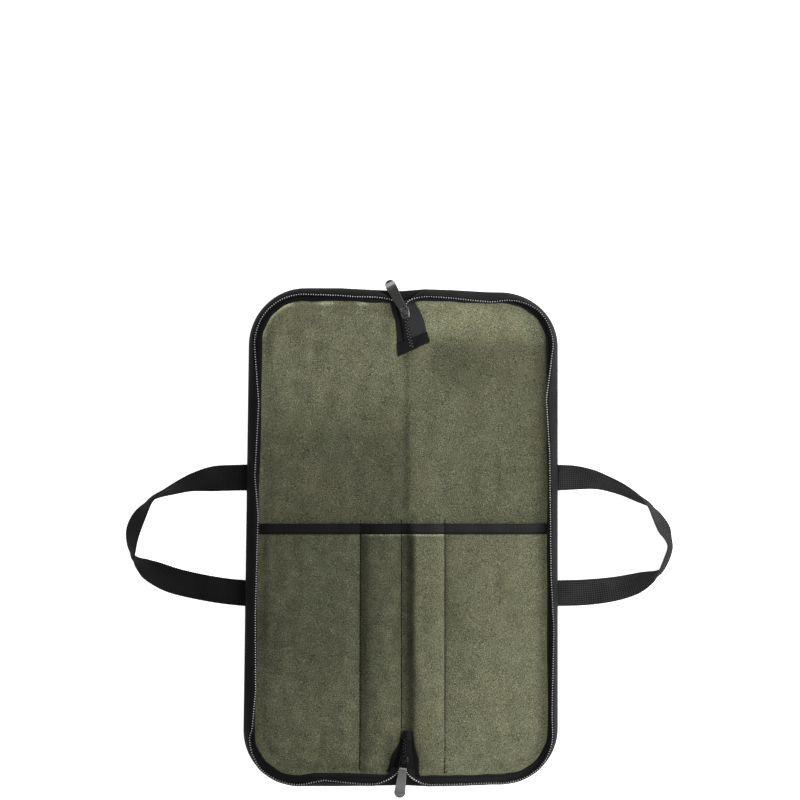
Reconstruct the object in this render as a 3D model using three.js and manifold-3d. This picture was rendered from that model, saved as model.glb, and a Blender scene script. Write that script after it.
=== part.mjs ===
// Chef knife roll of waxed canvas, unzipped and lying open with its inside up.
// Millimetres, +Z up. The origin is on the surface that the roll lies on, under the middle of its spine.
// +X is the right half of the body, and +Y the end whose slider closes first.

import * as THREE from 'three';
import { mergeVertices } from 'three/addons/utils/BufferGeometryUtils.js';
import Module from 'manifold-3d';

// Body outline
const BODY_LENGTH = 480;
const BODY_WIDTH = 300;
const CORNER_RADIUS = 55;
const LEFT_TAPER = 3.3;
const END_DROOP = 4.8;
const DROOP_POWER = 4;

// Cloth, binding and clearance
const CLEARANCE = 0.3;
const CANVAS_THICKNESS = 1.2;
const BINDING_THICKNESS = 1.0;
const BINDING_LEG = 10.5;
const SAG_FADE = 13;
const PILLOW_HEIGHT = 2.0;
const PILLOW_FADE = 15;
const SPINE_VALLEY = 12;

// Pockets
const POCKET_DEPTH = 252.4;
const SPINE_STITCH_X = -0.5;
const LEFT_SLEEVE_WIDTH = 39.4;
const RIGHT_SLEEVE_WIDTH = 41.7;
const POCKET_GAPE = 7.5;
const ARCH_POWER = 0.6;
const MOUTH_BAND = 10.3;
const MOUTH_BAND_THICKNESS = 0.8;
const STEP_FADE = 8;
const MOUTH_GAP = 1;

// Handles
const WEBBING_WIDTH = 25.4;
const WEBBING_THICKNESS = 1.6;
const HANDLE_SPACING = 111.2;
const HANDLE_CENTRE_Y = 2.1;
const HANDLE_SEWN = 50;
const STRAP_MARGIN = 1.5;
const STRAP_FADE = 10;
const LEFT_HANDLE_REACH = 116.6;
const RIGHT_HANDLE_REACH = 110;
const HANDLE_STEPS = 34;

// Zip
const TAPE_THICKNESS = 0.8;
const TAPE_FOOT_INSET = 1.3;
const TAPE_RISE = 10;
const TAPE_HALF_WIDTH = 16;
const COIL_RADIUS = 1.1;
const COIL_SIDES = 5;
const ZIP_RUN_IN = 27;
const RUN_IN_EASE = 11;
const MOUTH_EASE = 8;
const RUN_IN_DROP = 2.2;
const FOOT_STEP = 4;
const FOOT_SPREAD = 7.2;
const RUN_IN_SHARES = [0, 0.1, 0.2, 0.31, 0.44, 0.6, 0.8];

// Sliders and pull tabs
const SLIDER_LIFT = 6.5;
const SLIDER_LENGTH = 10.5;
const SLIDER_MOUTH_WIDTH = 9.6;
const SLIDER_TAIL_WIDTH = 7.4;
const SLIDER_PLATE = 1.1;
const SLIDER_CHANNEL = 2.6;
const SLIDER_WALL = 0.9;
const SLIDER_POST = 1.8;
const POST_LENGTH = 3.7;
const SLIDER_ROUND = 0.2;
const TAPE_SLOT = 1.4;
const BRIDGE_LENGTH = 6.8;
const BRIDGE_WIDTH = 2.2;
const BRIDGE_CLEAR = 2.4;
const BRIDGE_THICKNESS = 1.6;
const PULL_LENGTH = 35;
const PULL_TIP_WIDTH = 10.8;
const PULL_THICKNESS = 1.4;
const PULL_CROSSBAR = 1.4;
const PULL_WINDOW_WIDTH = 5;
const PULL_WINDOW_LENGTH = 5;
const PULL_TIP_SEGMENTS = 10;
const PLATE_SEGMENTS = 3;

// The two ends of the zip. inset is how far the slider's middle lies in from the end edge, tail the length
// of the closed zip behind it, heading how far the slider's mouth turns from the body's own end direction,
// pull_turn how far its pull tab turns from the slider, both in degrees to the left as seen from above.
const ZIP_ENDS = {
  top: { end: 1, inset: 22, slider_x: 2.9, heading: 13, pull_turn: 12, pull_root: 9.2, tail: 37.4 },
  bottom: { end: -1, inset: 23.8, slider_x: 1.8, heading: -7.6, pull_turn: 0, pull_root: 7.8, tail: 30.1 },
};

// How far each end edge droops in from a straight line: across as a share of half the width,
// top and bottom as shares of END_DROOP.
const END_EDGE_ROWS = [
  { across: -1, top: 0, bottom: 0.15 },
  { across: -0.4, top: 0, bottom: 0.15 },
  { across: -0.17, top: 0.38, bottom: 0.25 },
  { across: 0, top: 0.58, bottom: 0.38 },
  { across: 0.15, top: 0.2, bottom: 0.15 },
  { across: 0.32, top: 0.38, bottom: 0.2 },
  { across: 0.55, top: 0.8, bottom: 0.5 },
  { across: 1, top: 1, bottom: 0.8 },
];

// How open a pocket stands at each depth below its mouth, as shares of POCKET_DEPTH and POCKET_GAPE.
const GAPE_ROWS = [
  { depth: 0, gape: 1 },
  { depth: 0.45, gape: 0.9 },
  { depth: 0.79, gape: 0.6 },
  { depth: 0.95, gape: 0 },
];

// The lean of the standing zip tape along each half of the edge. place counts along the half outline: 0 at
// the spine's top end, 1 to 2 round the top corner, 3 to 4 round the bottom corner, 5 at the spine's bottom
// end. lean is how far the tape's free edge comes in, as a share of TAPE_RISE.
const LEFT_LEAN_ROWS = [
  { place: 0, lean: 0.5 },
  { place: 0.5, lean: 0.6 },
  { place: 1, lean: 0.45 },
  { place: 1.5, lean: 0.36 },
  { place: 2, lean: 0.44 },
  { place: 2.15, lean: 0.86 },
  { place: 2.34, lean: 0.62 },
  { place: 2.44, lean: 0.92 },
  { place: 2.7, lean: 0.8 },
  { place: 2.9, lean: 0.9 },
  { place: 3.1, lean: 0.4 },
  { place: 3.5, lean: 0.05 },
  { place: 4, lean: 0.12 },
  { place: 4.23, lean: 0.5 },
  { place: 4.6, lean: 0.15 },
  { place: 5, lean: 0.1 },
];
const RIGHT_LEAN_ROWS = [
  { place: 0, lean: 0.5 },
  { place: 0.4, lean: 0.6 },
  { place: 0.9, lean: 0.82 },
  { place: 1.2, lean: 0.5 },
  { place: 1.5, lean: 0.22 },
  { place: 2, lean: 0.35 },
  { place: 2.14, lean: 0.9 },
  { place: 2.28, lean: 0.64 },
  { place: 2.6, lean: 0.52 },
  { place: 2.74, lean: 0.28 },
  { place: 2.95, lean: 0.44 },
  { place: 3.5, lean: 0.05 },
  { place: 4.2, lean: 0.1 },
  { place: 5, lean: 0.1 },
];

// Centre lines of the handles beside the body. out is a share of the handle's reach from the edge, side a
// share of half the spacing of its two ends, and lean the webbing's turn in degrees: 0 lies flat, and past
// 90 it stands on its inner edge and the outer one leans in over the loop.
const LEFT_HANDLE_ROWS = [
  { out: 0.0, side: 1.0, lean: 0 },
  { out: 0.13, side: 0.995, lean: 2 },
  { out: 0.251, side: 0.986, lean: 10 },
  { out: 0.382, side: 0.953, lean: 35 },
  { out: 0.498, side: 0.894, lean: 53 },
  { out: 0.671, side: 0.746, lean: 76 },
  { out: 0.761, side: 0.633, lean: 91 },
  { out: 0.815, side: 0.535, lean: 104 },
  { out: 0.884, side: 0.339, lean: 122 },
  { out: 0.931, side: 0.109, lean: 126 },
  { out: 0.943, side: -0.114, lean: 116 },
  { out: 0.93, side: -0.29, lean: 102 },
  { out: 0.892, side: -0.44, lean: 74 },
  { out: 0.84, side: -0.535, lean: 53 },
  { out: 0.775, side: -0.625, lean: 35 },
  { out: 0.62, side: -0.766, lean: 11 },
  { out: 0.464, side: -0.853, lean: 2 },
  { out: 0.281, side: -0.929, lean: 0 },
  { out: 0.13, side: -0.975, lean: 0 },
  { out: 0.0, side: -1.0, lean: 0 },
];
const RIGHT_HANDLE_ROWS = [
  { out: 0.0, side: 1.0, lean: 6 },
  { out: 0.136, side: 1.005, lean: 20 },
  { out: 0.283, side: 0.983, lean: 39 },
  { out: 0.408, side: 0.923, lean: 53 },
  { out: 0.571, side: 0.795, lean: 65 },
  { out: 0.717, side: 0.624, lean: 78 },
  { out: 0.792, side: 0.505, lean: 93 },
  { out: 0.855, side: 0.368, lean: 110 },
  { out: 0.927, side: 0.132, lean: 120 },
  { out: 0.965, side: -0.042, lean: 107 },
  { out: 0.975, side: -0.2, lean: 99 },
  { out: 0.95, side: -0.4, lean: 102 },
  { out: 0.892, side: -0.59, lean: 93 },
  { out: 0.815, side: -0.715, lean: 66 },
  { out: 0.735, side: -0.793, lean: 47 },
  { out: 0.651, side: -0.857, lean: 35 },
  { out: 0.517, side: -0.922, lean: 24 },
  { out: 0.333, side: -0.972, lean: 12 },
  { out: 0.15, side: -0.995, lean: 3 },
  { out: 0.0, side: -1.0, lean: 0 },
];

// The closed tail behind each slider. back is a share of the tail's length from the slider's middle, left
// and right how far the two tapes spread as shares of TAPE_HALF_WIDTH, chain, fold and lip heights over
// the lining as shares of the chain's height at the slider, and turn the section's turn in degrees.
const TAIL_ROWS = {
  top: [
    { back: 0.16, left: 0.66, right: 0.95, chain: 1.0, fold: 0.55, left_lip: 0.15, right_lip: 0.6, turn: 0 },
    { back: 0.4, left: 0.74, right: 1.0, chain: 0.9, fold: 0.35, left_lip: 0.1, right_lip: 0.45, turn: 2 },
    { back: 0.68, left: 0.88, right: 1.0, chain: 0.6, fold: 0.3, left_lip: 0.05, right_lip: 0.3, turn: 7 },
    { back: 1.0, left: 1.0, right: 1.06, chain: 0.25, fold: 0.15, left_lip: 0, right_lip: 0.1, turn: 11 },
  ],
  bottom: [
    { back: 0.2, left: 0.72, right: 0.84, chain: 1.0, fold: 0.6, left_lip: 0.1, right_lip: 0.1, turn: 0 },
    { back: 0.45, left: 0.48, right: 0.6, chain: 1.15, fold: 0.75, left_lip: 0.1, right_lip: 0.1, turn: 0 },
    { back: 0.72, left: 0.37, right: 0.42, chain: 1.25, fold: 0.8, left_lip: 0.2, right_lip: 0.2, turn: 0 },
    { back: 1.0, left: 0.25, right: 0.25, chain: 1.2, fold: 0.8, left_lip: 0.4, right_lip: 0.4, turn: 0 },
  ],
};
const TAIL_FOLD_SHARE = 0.55;
const TAIL_BEND_SHARE = 0.4;
const END_TAB_SHARE = 0.7;
const END_TAB_EXTRA = 0.7;

// Where the cloth's grid lines and the outline's stations lie between the ones that the sizes above give:
// shares of a pocket's width, of the corner inside the rim and of the straight side, places along the end
// edge and turns round a corner.
const WIDE_ARCH_SHARES = [0.76, 0.9];
const SLEEVE_ARCH_SHARE = 0.7;
const CORNER_SHARES = [0.31, 0.93];
const OPEN_SHARES = [0.65, 0.82];
const END_PLACES = [0.45, 0.7];
const CORNER_TURNS = [0, 0.17, 0.33, 0.5, 0.67, 0.83, 1];

// Colours
const OLIVE_CANVAS = 0x5b5f43;
const OLIVE_LINING = 0x60644a;
const BINDING_BLACK = 0x1c1c1e;
const TAPE_BLACK = 0x2a2a2c;
const COIL_GREY = 0x77787a;
const WEBBING_BLACK = 0x1a1a1b;
const GUNMETAL = 0x4a4b4d;

const HALF_LENGTH = BODY_LENGTH / 2;
const HALF_WIDTH = BODY_WIDTH / 2;
const STRAIGHT_X = HALF_WIDTH - CORNER_RADIUS;
const STRAIGHT_Y = HALF_LENGTH - CORNER_RADIUS;
const SHEET_INSET = BINDING_THICKNESS + 3 * CLEARANCE;
const RIM_WIDTH = BINDING_LEG + CLEARANCE;
const MOUTH_Y = POCKET_DEPTH - HALF_LENGTH;
const BAND_END_Y = MOUTH_Y - MOUTH_BAND - MOUTH_GAP;
const SLEEVE_LEFT = SPINE_STITCH_X - LEFT_SLEEVE_WIDTH;
const SLEEVE_RIGHT = SPINE_STITCH_X + RIGHT_SLEEVE_WIDTH;
const SLEEVE_STITCHES = [SLEEVE_LEFT, SPINE_STITCH_X, SLEEVE_RIGHT];
const POCKET_EDGES = [-HALF_WIDTH + RIM_WIDTH, ...SLEEVE_STITCHES, HALF_WIDTH - RIM_WIDTH];
const BACK_LIFT = MOUTH_BAND_THICKNESS + CLEARANCE;
const STRAP_CENTRES = [HANDLE_CENTRE_Y + HANDLE_SPACING / 2, HANDLE_CENTRE_Y - HANDLE_SPACING / 2];
const STRAP_PLATEAU = WEBBING_WIDTH / 2 + STRAP_MARGIN;
const CHAIN_LEVEL = SLIDER_LIFT + SLIDER_PLATE + SLIDER_CHANNEL / 2;
const PIVOT_LEVEL = SLIDER_LIFT + 2 * SLIDER_PLATE + SLIDER_CHANNEL + BRIDGE_CLEAR / 2;

const WELD = 1e-4;
const CUT_PAST = 1;

const wasm = await Module();
wasm.setup();

// Falls from 1 to 0 in a straight line, from start on, over a length.
function fade(value, start, length) {
  return THREE.MathUtils.clamp(1 - (value - start) / length, 0, 1);
}

// Reads a table's column at a key, in straight lines between its rows.
function readRows(rows, key, column, at) {
  const last = rows[rows.length - 1];
  if (at <= rows[0][key]) return rows[0][column];
  if (at >= last[key]) return last[column];
  const next = rows.findIndex((row) => row[key] > at);
  const before = rows[next - 1];
  const share = (at - before[key]) / (rows[next][key] - before[key]);
  return THREE.MathUtils.lerp(before[column], rows[next][column], share);
}

// How far a point of the plain rounded rectangle lies inside its outline.
function edgeDistance(x, y) {
  const over_x = Math.abs(x) - STRAIGHT_X;
  const over_y = Math.abs(y) - STRAIGHT_Y;
  const outside = Math.hypot(Math.max(over_x, 0), Math.max(over_y, 0));
  return CORNER_RADIUS - outside - Math.min(Math.max(over_x, over_y), 0);
}

// Moves a point of the plain rounded rectangle to where the real, slightly uneven body has it.
function settle(x, y, z) {
  const column = y > 0 ? 'top' : 'bottom';
  const droop = END_DROOP * readRows(END_EDGE_ROWS, 'across', column, x / HALF_WIDTH);
  const along = THREE.MathUtils.clamp(Math.abs(y) / HALF_LENGTH, 0, 1);
  const shift = x < 0 ? LEFT_TAPER * (y / HALF_LENGTH) * Math.min(1, -x / HALF_WIDTH) : 0;
  return new THREE.Vector3(x + shift, y - Math.sign(y) * droop * along ** DROOP_POWER, z);
}

// Height of the outer canvas over the surface where the handle ends lie under it.
function strapLift(x, y) {
  const across = fade(HALF_WIDTH - Math.abs(x), HANDLE_SEWN + STRAP_MARGIN, STRAP_FADE);
  const shares = STRAP_CENTRES.map((centre) => fade(Math.abs(y - centre), STRAP_PLATEAU, STRAP_FADE));
  return (WEBBING_THICKNESS + CLEARANCE) * Math.min(across, Math.max(...shares));
}

// Underside of the outer canvas: on the binding's leg at the rim, on the surface further in.
function shellBottom(x, y) {
  return (BINDING_THICKNESS + CLEARANCE) * fade(edgeDistance(x, y), RIM_WIDTH, SAG_FADE) + strapLift(x, y);
}

// The soft rise of each half of the lining between the rim and the valley along the spine.
function pillow(x, y) {
  const from_rim = 1 - fade(edgeDistance(x, y), RIM_WIDTH, PILLOW_FADE);
  const from_spine = 1 - fade(Math.abs(x - SPINE_STITCH_X), 0, SPINE_VALLEY);
  return PILLOW_HEIGHT * Math.min(from_rim, from_spine);
}

function liningBottom(x, y) {
  return shellBottom(x, y) + CANVAS_THICKNESS + CLEARANCE + pillow(x, y);
}

function liningTop(x, y) {
  return liningBottom(x, y) + CANVAS_THICKNESS;
}

// Room for the mouth band's back leg between lining and pocket panel.
function backLift(y) {
  return BACK_LIFT * fade(BAND_END_Y - y, 0, STEP_FADE);
}

// How high a pocket arches between its two stitch lines.
function arch(x, y) {
  const next = POCKET_EDGES.findIndex((edge) => edge > x);
  if (next < 1) return 0;
  const share = (x - POCKET_EDGES[next - 1]) / (POCKET_EDGES[next] - POCKET_EDGES[next - 1]);
  const gape = readRows(GAPE_ROWS, 'depth', 'gape', (MOUTH_Y - y) / POCKET_DEPTH);
  const from_rim = 1 - fade(edgeDistance(x, y), RIM_WIDTH, SAG_FADE);
  return POCKET_GAPE * gape * from_rim * Math.sin(Math.PI * share) ** ARCH_POWER;
}

function panelBottom(x, y) {
  return liningTop(x, y) + CLEARANCE + backLift(y) + arch(x, y);
}

// Top of the sheet that lies uppermost.
function sheetTop(x, y) {
  return y > MOUTH_Y ? liningTop(x, y) : panelBottom(x, y) + CANVAS_THICKNESS;
}

// Top of the stack of sheets at the rim, which the binding's upper leg lies on.
function rimTop(x, y) {
  const panel_share = fade(y, MOUTH_Y + MOUTH_GAP, STEP_FADE);
  return liningTop(x, y) + panel_share * (CLEARANCE + backLift(y) + CANVAS_THICKNESS);
}

// Makes a mesh geometry from points and triangles, with its faces turned outwards.
function closedGeometry(points, triangles) {
  let volume = 0;
  for (const [a, b, c] of triangles) {
    volume += points[a].dot(new THREE.Vector3().crossVectors(points[b], points[c]));
  }
  const turned = volume < 0 ? triangles.map(([a, b, c]) => [a, c, b]) : triangles;
  const geometry = new THREE.BufferGeometry();
  const numbers = points.flatMap((point) => point.toArray());
  geometry.setAttribute('position', new THREE.Float32BufferAttribute(numbers, 3));
  geometry.setIndex(turned.flat());
  geometry.computeVertexNormals();
  return geometry;
}

// A cloth sheet between two height functions, on a grid of lines that follows the rounded outline.
function sheet(x_lines, y_lines, bottom, top) {
  const points = [];
  const full = HALF_WIDTH - SHEET_INSET;
  const radius = CORNER_RADIUS - SHEET_INSET;
  for (const height of [bottom, top]) {
    for (const y of y_lines) {
      const over = Math.max(0, Math.abs(y) - STRAIGHT_Y);
      const half = STRAIGHT_X + Math.sqrt(Math.max(0, radius ** 2 - over ** 2));
      for (const line of x_lines) {
        const x = line * (half / full);
        points.push(settle(x, y, height(x, y)));
      }
    }
  }
  const columns = x_lines.length;
  const layer = columns * y_lines.length;
  const triangles = [];
  for (let j = 0; j + 1 < y_lines.length; j += 1) {
    for (let i = 0; i + 1 < columns; i += 1) {
      const a = j * columns + i;
      const b = a + 1;
      const c = b + columns;
      const d = a + columns;
      triangles.push([a, c, b], [a, d, c]);
      triangles.push([a + layer, b + layer, c + layer], [a + layer, c + layer, d + layer]);
    }
  }
  const rim = [];
  for (let i = 0; i < columns; i += 1) rim.push(i);
  for (let j = 1; j < y_lines.length; j += 1) rim.push(j * columns + columns - 1);
  for (let i = columns - 2; i >= 0; i -= 1) rim.push((y_lines.length - 1) * columns + i);
  for (let j = y_lines.length - 2; j > 0; j -= 1) rim.push(j * columns);
  rim.forEach((a, at) => {
    const b = rim[(at + 1) % rim.length];
    triangles.push([a, b, b + layer], [a, b + layer, a + layer]);
  });
  return closedGeometry(points, triangles);
}

// Joins sections of equal point counts into one skin. An open run is capped by the given flat outline. The
// two halves of a section are the two faces of a thin piece, so their quads are cut along the same diagonal.
function sweep(sections, outline = null) {
  const count = sections[0].length;
  const points = sections.flat();
  const triangles = [];
  const spans = outline ? sections.length - 1 : sections.length;
  for (let s = 0; s < spans; s += 1) {
    for (let k = 0; k < count; k += 1) {
      const a = s * count + k;
      const b = s * count + ((k + 1) % count);
      const c = ((s + 1) % sections.length) * count + ((k + 1) % count);
      const d = ((s + 1) % sections.length) * count + k;
      if (2 * k < count) triangles.push([a, b, c], [a, c, d]);
      else triangles.push([a, b, d], [b, c, d]);
    }
  }
  if (outline) {
    const last = (sections.length - 1) * count;
    const runs_left = THREE.ShapeUtils.area(outline) > 0;
    for (const [a, b, c] of THREE.ShapeUtils.triangulateShape(outline, [])) {
      const cap = runs_left ? [a, b, c] : [a, c, b];
      triangles.push([...cap].reverse(), cap.map((corner) => corner + last));
    }
  }
  return closedGeometry(points, triangles);
}

// The folded band's section: two legs in from the edge, joined by the fold outside it. place(inward, z)
// gives the point, and lower and upper the heights of the two legs' inner faces at a distance inward.
function bandSection(place, leg, thickness, lower, upper) {
  return [
    place(leg, lower(leg) - thickness),
    place(thickness, lower(thickness) - thickness),
    place(0, lower(thickness)),
    place(0, upper(thickness)),
    place(thickness, upper(thickness) + thickness),
    place(leg, upper(leg) + thickness),
    place(leg, upper(leg)),
    place(thickness, upper(thickness)),
    place(thickness, lower(thickness)),
    place(leg, lower(leg)),
  ];
}

// A point of one half of the outline, with the direction inwards. place counts as in the lean tables.
function outlineAt(side, place) {
  if (place <= 1) return { x: side * place * STRAIGHT_X, y: HALF_LENGTH, in_x: 0, in_y: -1 };
  if (place >= 4) return { x: side * (5 - place) * STRAIGHT_X, y: -HALF_LENGTH, in_x: 0, in_y: 1 };
  if (place >= 2 && place <= 3) {
    return { x: side * HALF_WIDTH, y: STRAIGHT_Y * (5 - 2 * place), in_x: -side, in_y: 0 };
  }
  const end = place < 2 ? 1 : -1;
  const turn = (place < 2 ? place - 1 : 4 - place) * (Math.PI / 2);
  const out_x = side * Math.sin(turn);
  const out_y = end * Math.cos(turn);
  return {
    x: side * STRAIGHT_X + out_x * CORNER_RADIUS,
    y: end * STRAIGHT_Y + out_y * CORNER_RADIUS,
    in_x: -out_x,
    in_y: -out_y,
  };
}

// Sorts grid lines and leaves out those that fall together.
function gridLines(lines) {
  const sorted = [...lines].sort((a, b) => a - b);
  return sorted.filter((line, at) => at === 0 || line - sorted[at - 1] > CLEARANCE);
}

// Lines across the width: rim, sag, handle ends, pockets' stitches and the arches between them.
function makeXLines() {
  const lines = [SPINE_STITCH_X - SPINE_VALLEY, SPINE_STITCH_X + SPINE_VALLEY, ...POCKET_EDGES];
  for (const side of [-1, 1]) {
    const insets = [SHEET_INSET, RIM_WIDTH + SAG_FADE, HANDLE_SEWN + STRAP_MARGIN,
      HANDLE_SEWN + STRAP_MARGIN + STRAP_FADE];
    insets.forEach((inset) => lines.push(side * (HALF_WIDTH - inset)));
  }
  const [left, sleeve_left, spine, sleeve_right, right] = POCKET_EDGES;
  WIDE_ARCH_SHARES.forEach((share) => lines.push(THREE.MathUtils.lerp(left, sleeve_left, share)));
  WIDE_ARCH_SHARES.forEach((share) => lines.push(THREE.MathUtils.lerp(right, sleeve_right, share)));
  [sleeve_left, sleeve_right].forEach((stitch) => {
    lines.push(THREE.MathUtils.lerp(spine, stitch, SLEEVE_ARCH_SHARE));
  });
  return gridLines(lines);
}

// Lines along the length: corners, handle ends, the pocket mouth and the steps of the gape.
function makeYLines() {
  const sag_end = RIM_WIDTH + SAG_FADE;
  const insets = [SHEET_INSET, (SHEET_INSET + RIM_WIDTH) / 2, RIM_WIDTH, sag_end, CORNER_RADIUS,
    ...CORNER_SHARES.map((share) => THREE.MathUtils.lerp(sag_end, CORNER_RADIUS, share))];
  const lines = insets.flatMap((inset) => [inset - HALF_LENGTH, HALF_LENGTH - inset]);
  for (const centre of STRAP_CENTRES) {
    [STRAP_PLATEAU, STRAP_PLATEAU + STRAP_FADE].forEach((reach) => {
      lines.push(centre - reach, centre + reach);
    });
  }
  const step = MOUTH_Y + MOUTH_GAP;
  lines.push(MOUTH_Y, step, step + STEP_FADE, BAND_END_Y, BAND_END_Y - STEP_FADE);
  GAPE_ROWS.slice(1, -1).forEach((row) => lines.push(MOUTH_Y - row.depth * POCKET_DEPTH));
  OPEN_SHARES.forEach((share) => lines.push(share * STRAIGHT_Y));
  return gridLines(lines);
}

const X_LINES = makeXLines();
const Y_LINES = makeYLines();

// Places along one half of the outline: the end edges, the corners and every grid line beside the straight.
function outlinePlaces() {
  const side_lines = Y_LINES.filter((y) => Math.abs(y) < STRAIGHT_Y - CLEARANCE);
  const side_places = side_lines.map((y) => (5 - y / STRAIGHT_Y) / 2).reverse();
  const end_places = [0, ZIP_RUN_IN / STRAIGHT_X, ...END_PLACES];
  return [...end_places, ...CORNER_TURNS.map((turn) => 1 + turn), ...side_places,
    ...CORNER_TURNS.map((turn) => 3 + turn), ...end_places.map((place) => 5 - place).reverse()];
}

// The binding round the whole body: down the left half and back up the right one.
function makeEdgeBinding() {
  const places = outlinePlaces();
  const left = places.map((place) => outlineAt(-1, place));
  const right = places.slice(1, -1).map((place) => outlineAt(1, place)).reverse();
  const sections = [...left, ...right].map((edge) => bandSection(
    (inward, z) => settle(edge.x + edge.in_x * inward, edge.y + edge.in_y * inward, z),
    BINDING_LEG,
    BINDING_THICKNESS,
    (inward) => BINDING_THICKNESS + strapLift(edge.x + edge.in_x * inward, edge.y),
    () => rimTop(edge.x, edge.y) + CLEARANCE,
  ));
  return sweep(sections);
}

// The band folded over the pocket mouth, following its arches.
function makePocketBinding() {
  const first = POCKET_EDGES[0];
  const last = POCKET_EDGES[POCKET_EDGES.length - 1];
  const stations = X_LINES.filter((x) => x >= first && x <= last);
  const mouth = MOUTH_Y + MOUTH_BAND_THICKNESS + CLEARANCE;
  const under = (x, y) => panelBottom(x, Math.min(y, MOUTH_Y)) - CLEARANCE;
  const over = (x, y) => panelBottom(x, Math.min(y, MOUTH_Y)) + CANVAS_THICKNESS + CLEARANCE;
  const sections = stations.map((x) => bandSection(
    (inward, z) => settle(x, mouth - inward, z),
    MOUTH_BAND,
    MOUTH_BAND_THICKNESS,
    (inward) => under(x, mouth - inward),
    (inward) => over(x, mouth - inward),
  ));
  return sweep(sections, flatOutline(sections[0], 'y', 'z'));
}

// A section's own outline in two of its axes, for the caps of an open run.
function flatOutline(section, across, up) {
  return section.map((point) => new THREE.Vector2(point[across], point[up]));
}

// The slider's place and axes at one end of the zip: forward points out of its mouth, aside to its right.
function sliderFrame(zip_end) {
  const turn = THREE.MathUtils.degToRad(zip_end.heading);
  const forward = new THREE.Vector3(-Math.sin(turn), Math.cos(turn), 0).multiplyScalar(zip_end.end);
  const aside = new THREE.Vector3(Math.cos(turn), Math.sin(turn), 0);
  const middle = new THREE.Vector3(zip_end.slider_x, zip_end.end * (HALF_LENGTH - zip_end.inset), 0);
  return { forward, aside, middle };
}

// Foot and free edge of the standing tape where it is sewn to the rim.
function rimTape(side, place, lean_rows) {
  const edge = outlineAt(side, place);
  const lean = readRows(lean_rows, 'place', 'lean', place);
  const foot_z = rimTop(edge.x, edge.y) + BINDING_THICKNESS + 2 * CLEARANCE;
  const at = (inward, z) => settle(edge.x + edge.in_x * inward, edge.y + edge.in_y * inward, z);
  return {
    foot: at(TAPE_FOOT_INSET, foot_z),
    free: at(TAPE_FOOT_INSET + TAPE_RISE * lean, foot_z + TAPE_RISE * Math.sqrt(1 - lean * lean)),
  };
}

// Height that the tape's foot keeps over whatever lies under it near the slider.
function footFloor(x, y) {
  const on_binding = edgeDistance(x, y) < RIM_WIDTH + FOOT_STEP;
  const under = on_binding ? rimTop(x, y) + BINDING_THICKNESS + CLEARANCE : sheetTop(x, y);
  return under + 3 * CLEARANCE;
}

// The tape's run from the rim into the slider's mouth, from the slider outwards.
function runInTape(side, zip_end, lean_rows) {
  const { forward, aside, middle } = sliderFrame(zip_end);
  const rim_x = side * ZIP_RUN_IN;
  const rim_y = zip_end.end * (HALF_LENGTH - TAPE_FOOT_INSET);
  const place = ZIP_RUN_IN / STRAIGHT_X;
  const rim = rimTape(side, zip_end.end > 0 ? place : 5 - place, lean_rows);
  const lean = readRows(lean_rows, 'place', 'lean', zip_end.end > 0 ? place : 5 - place);
  const mouth = middle.clone().addScaledVector(forward, SLIDER_LENGTH / 2 + 2 * CLEARANCE);
  const edge_x = SLIDER_POST / 2 + 3 * CLEARANCE + 2 * COIL_RADIUS;
  const runs = {
    free: {
      aside: edge_x,
      start_y: rim_y - zip_end.end * TAPE_RISE * lean,
      from: CHAIN_LEVEL,
      to: rim.free.z,
    },
    foot: { aside: edge_x + FOOT_SPREAD, start_y: rim_y, from: 0, to: rim.foot.z },
  };
  const curves = Object.fromEntries(Object.entries(runs).map(([key, run]) => {
    const end = mouth.clone().addScaledVector(aside, side * run.aside);
    const start = new THREE.Vector3(rim_x, run.start_y, 0);
    return [key, new THREE.CubicBezierCurve3(
      end,
      end.clone().addScaledVector(forward, MOUTH_EASE),
      new THREE.Vector3(rim_x - side * RUN_IN_EASE, run.start_y, 0),
      start,
    )];
  }));
  return RUN_IN_SHARES.map((share) => {
    const foot = curves.foot.getPoint(share);
    const free = curves.free.getPoint(share);
    const drop = share ** RUN_IN_DROP;
    const free_z = THREE.MathUtils.lerp(runs.free.from, runs.free.to, drop);
    return { foot: settle(foot.x, foot.y, footFloor(foot.x, foot.y)), free: settle(free.x, free.y, free_z) };
  });
}

// One half's whole tape, from the top slider round to the bottom one, as foot and free edge stations.
function tapeStations(side, lean_rows) {
  const places = outlinePlaces().slice(1, -1);
  return [
    ...runInTape(side, ZIP_ENDS.top, lean_rows),
    ...places.map((place) => rimTape(side, place, lean_rows)),
    ...runInTape(side, ZIP_ENDS.bottom, lean_rows).reverse(),
  ];
}

// The direction of travel at a station, from its neighbours.
function travel(stations, at, key) {
  const before = stations[Math.max(at - 1, 0)][key];
  const after = stations[Math.min(at + 1, stations.length - 1)][key];
  return after.clone().sub(before).normalize();
}

function makeTape(side, lean_rows) {
  const stations = tapeStations(side, lean_rows);
  const sections = stations.map(({ foot, free }, at) => {
    const rise = free.clone().sub(foot).normalize();
    const outward = travel(stations, at, 'foot').cross(rise).normalize();
    outward.multiplyScalar(-side * TAPE_THICKNESS);
    return [foot.clone(), free.clone(), free.clone().add(outward), foot.clone().add(outward)];
  });
  return sweep(sections, unitSquare());
}

function unitSquare() {
  return [[0, 0], [0, 1], [1, 1], [1, 0]].map(([x, y]) => new THREE.Vector2(x, y));
}

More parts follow.
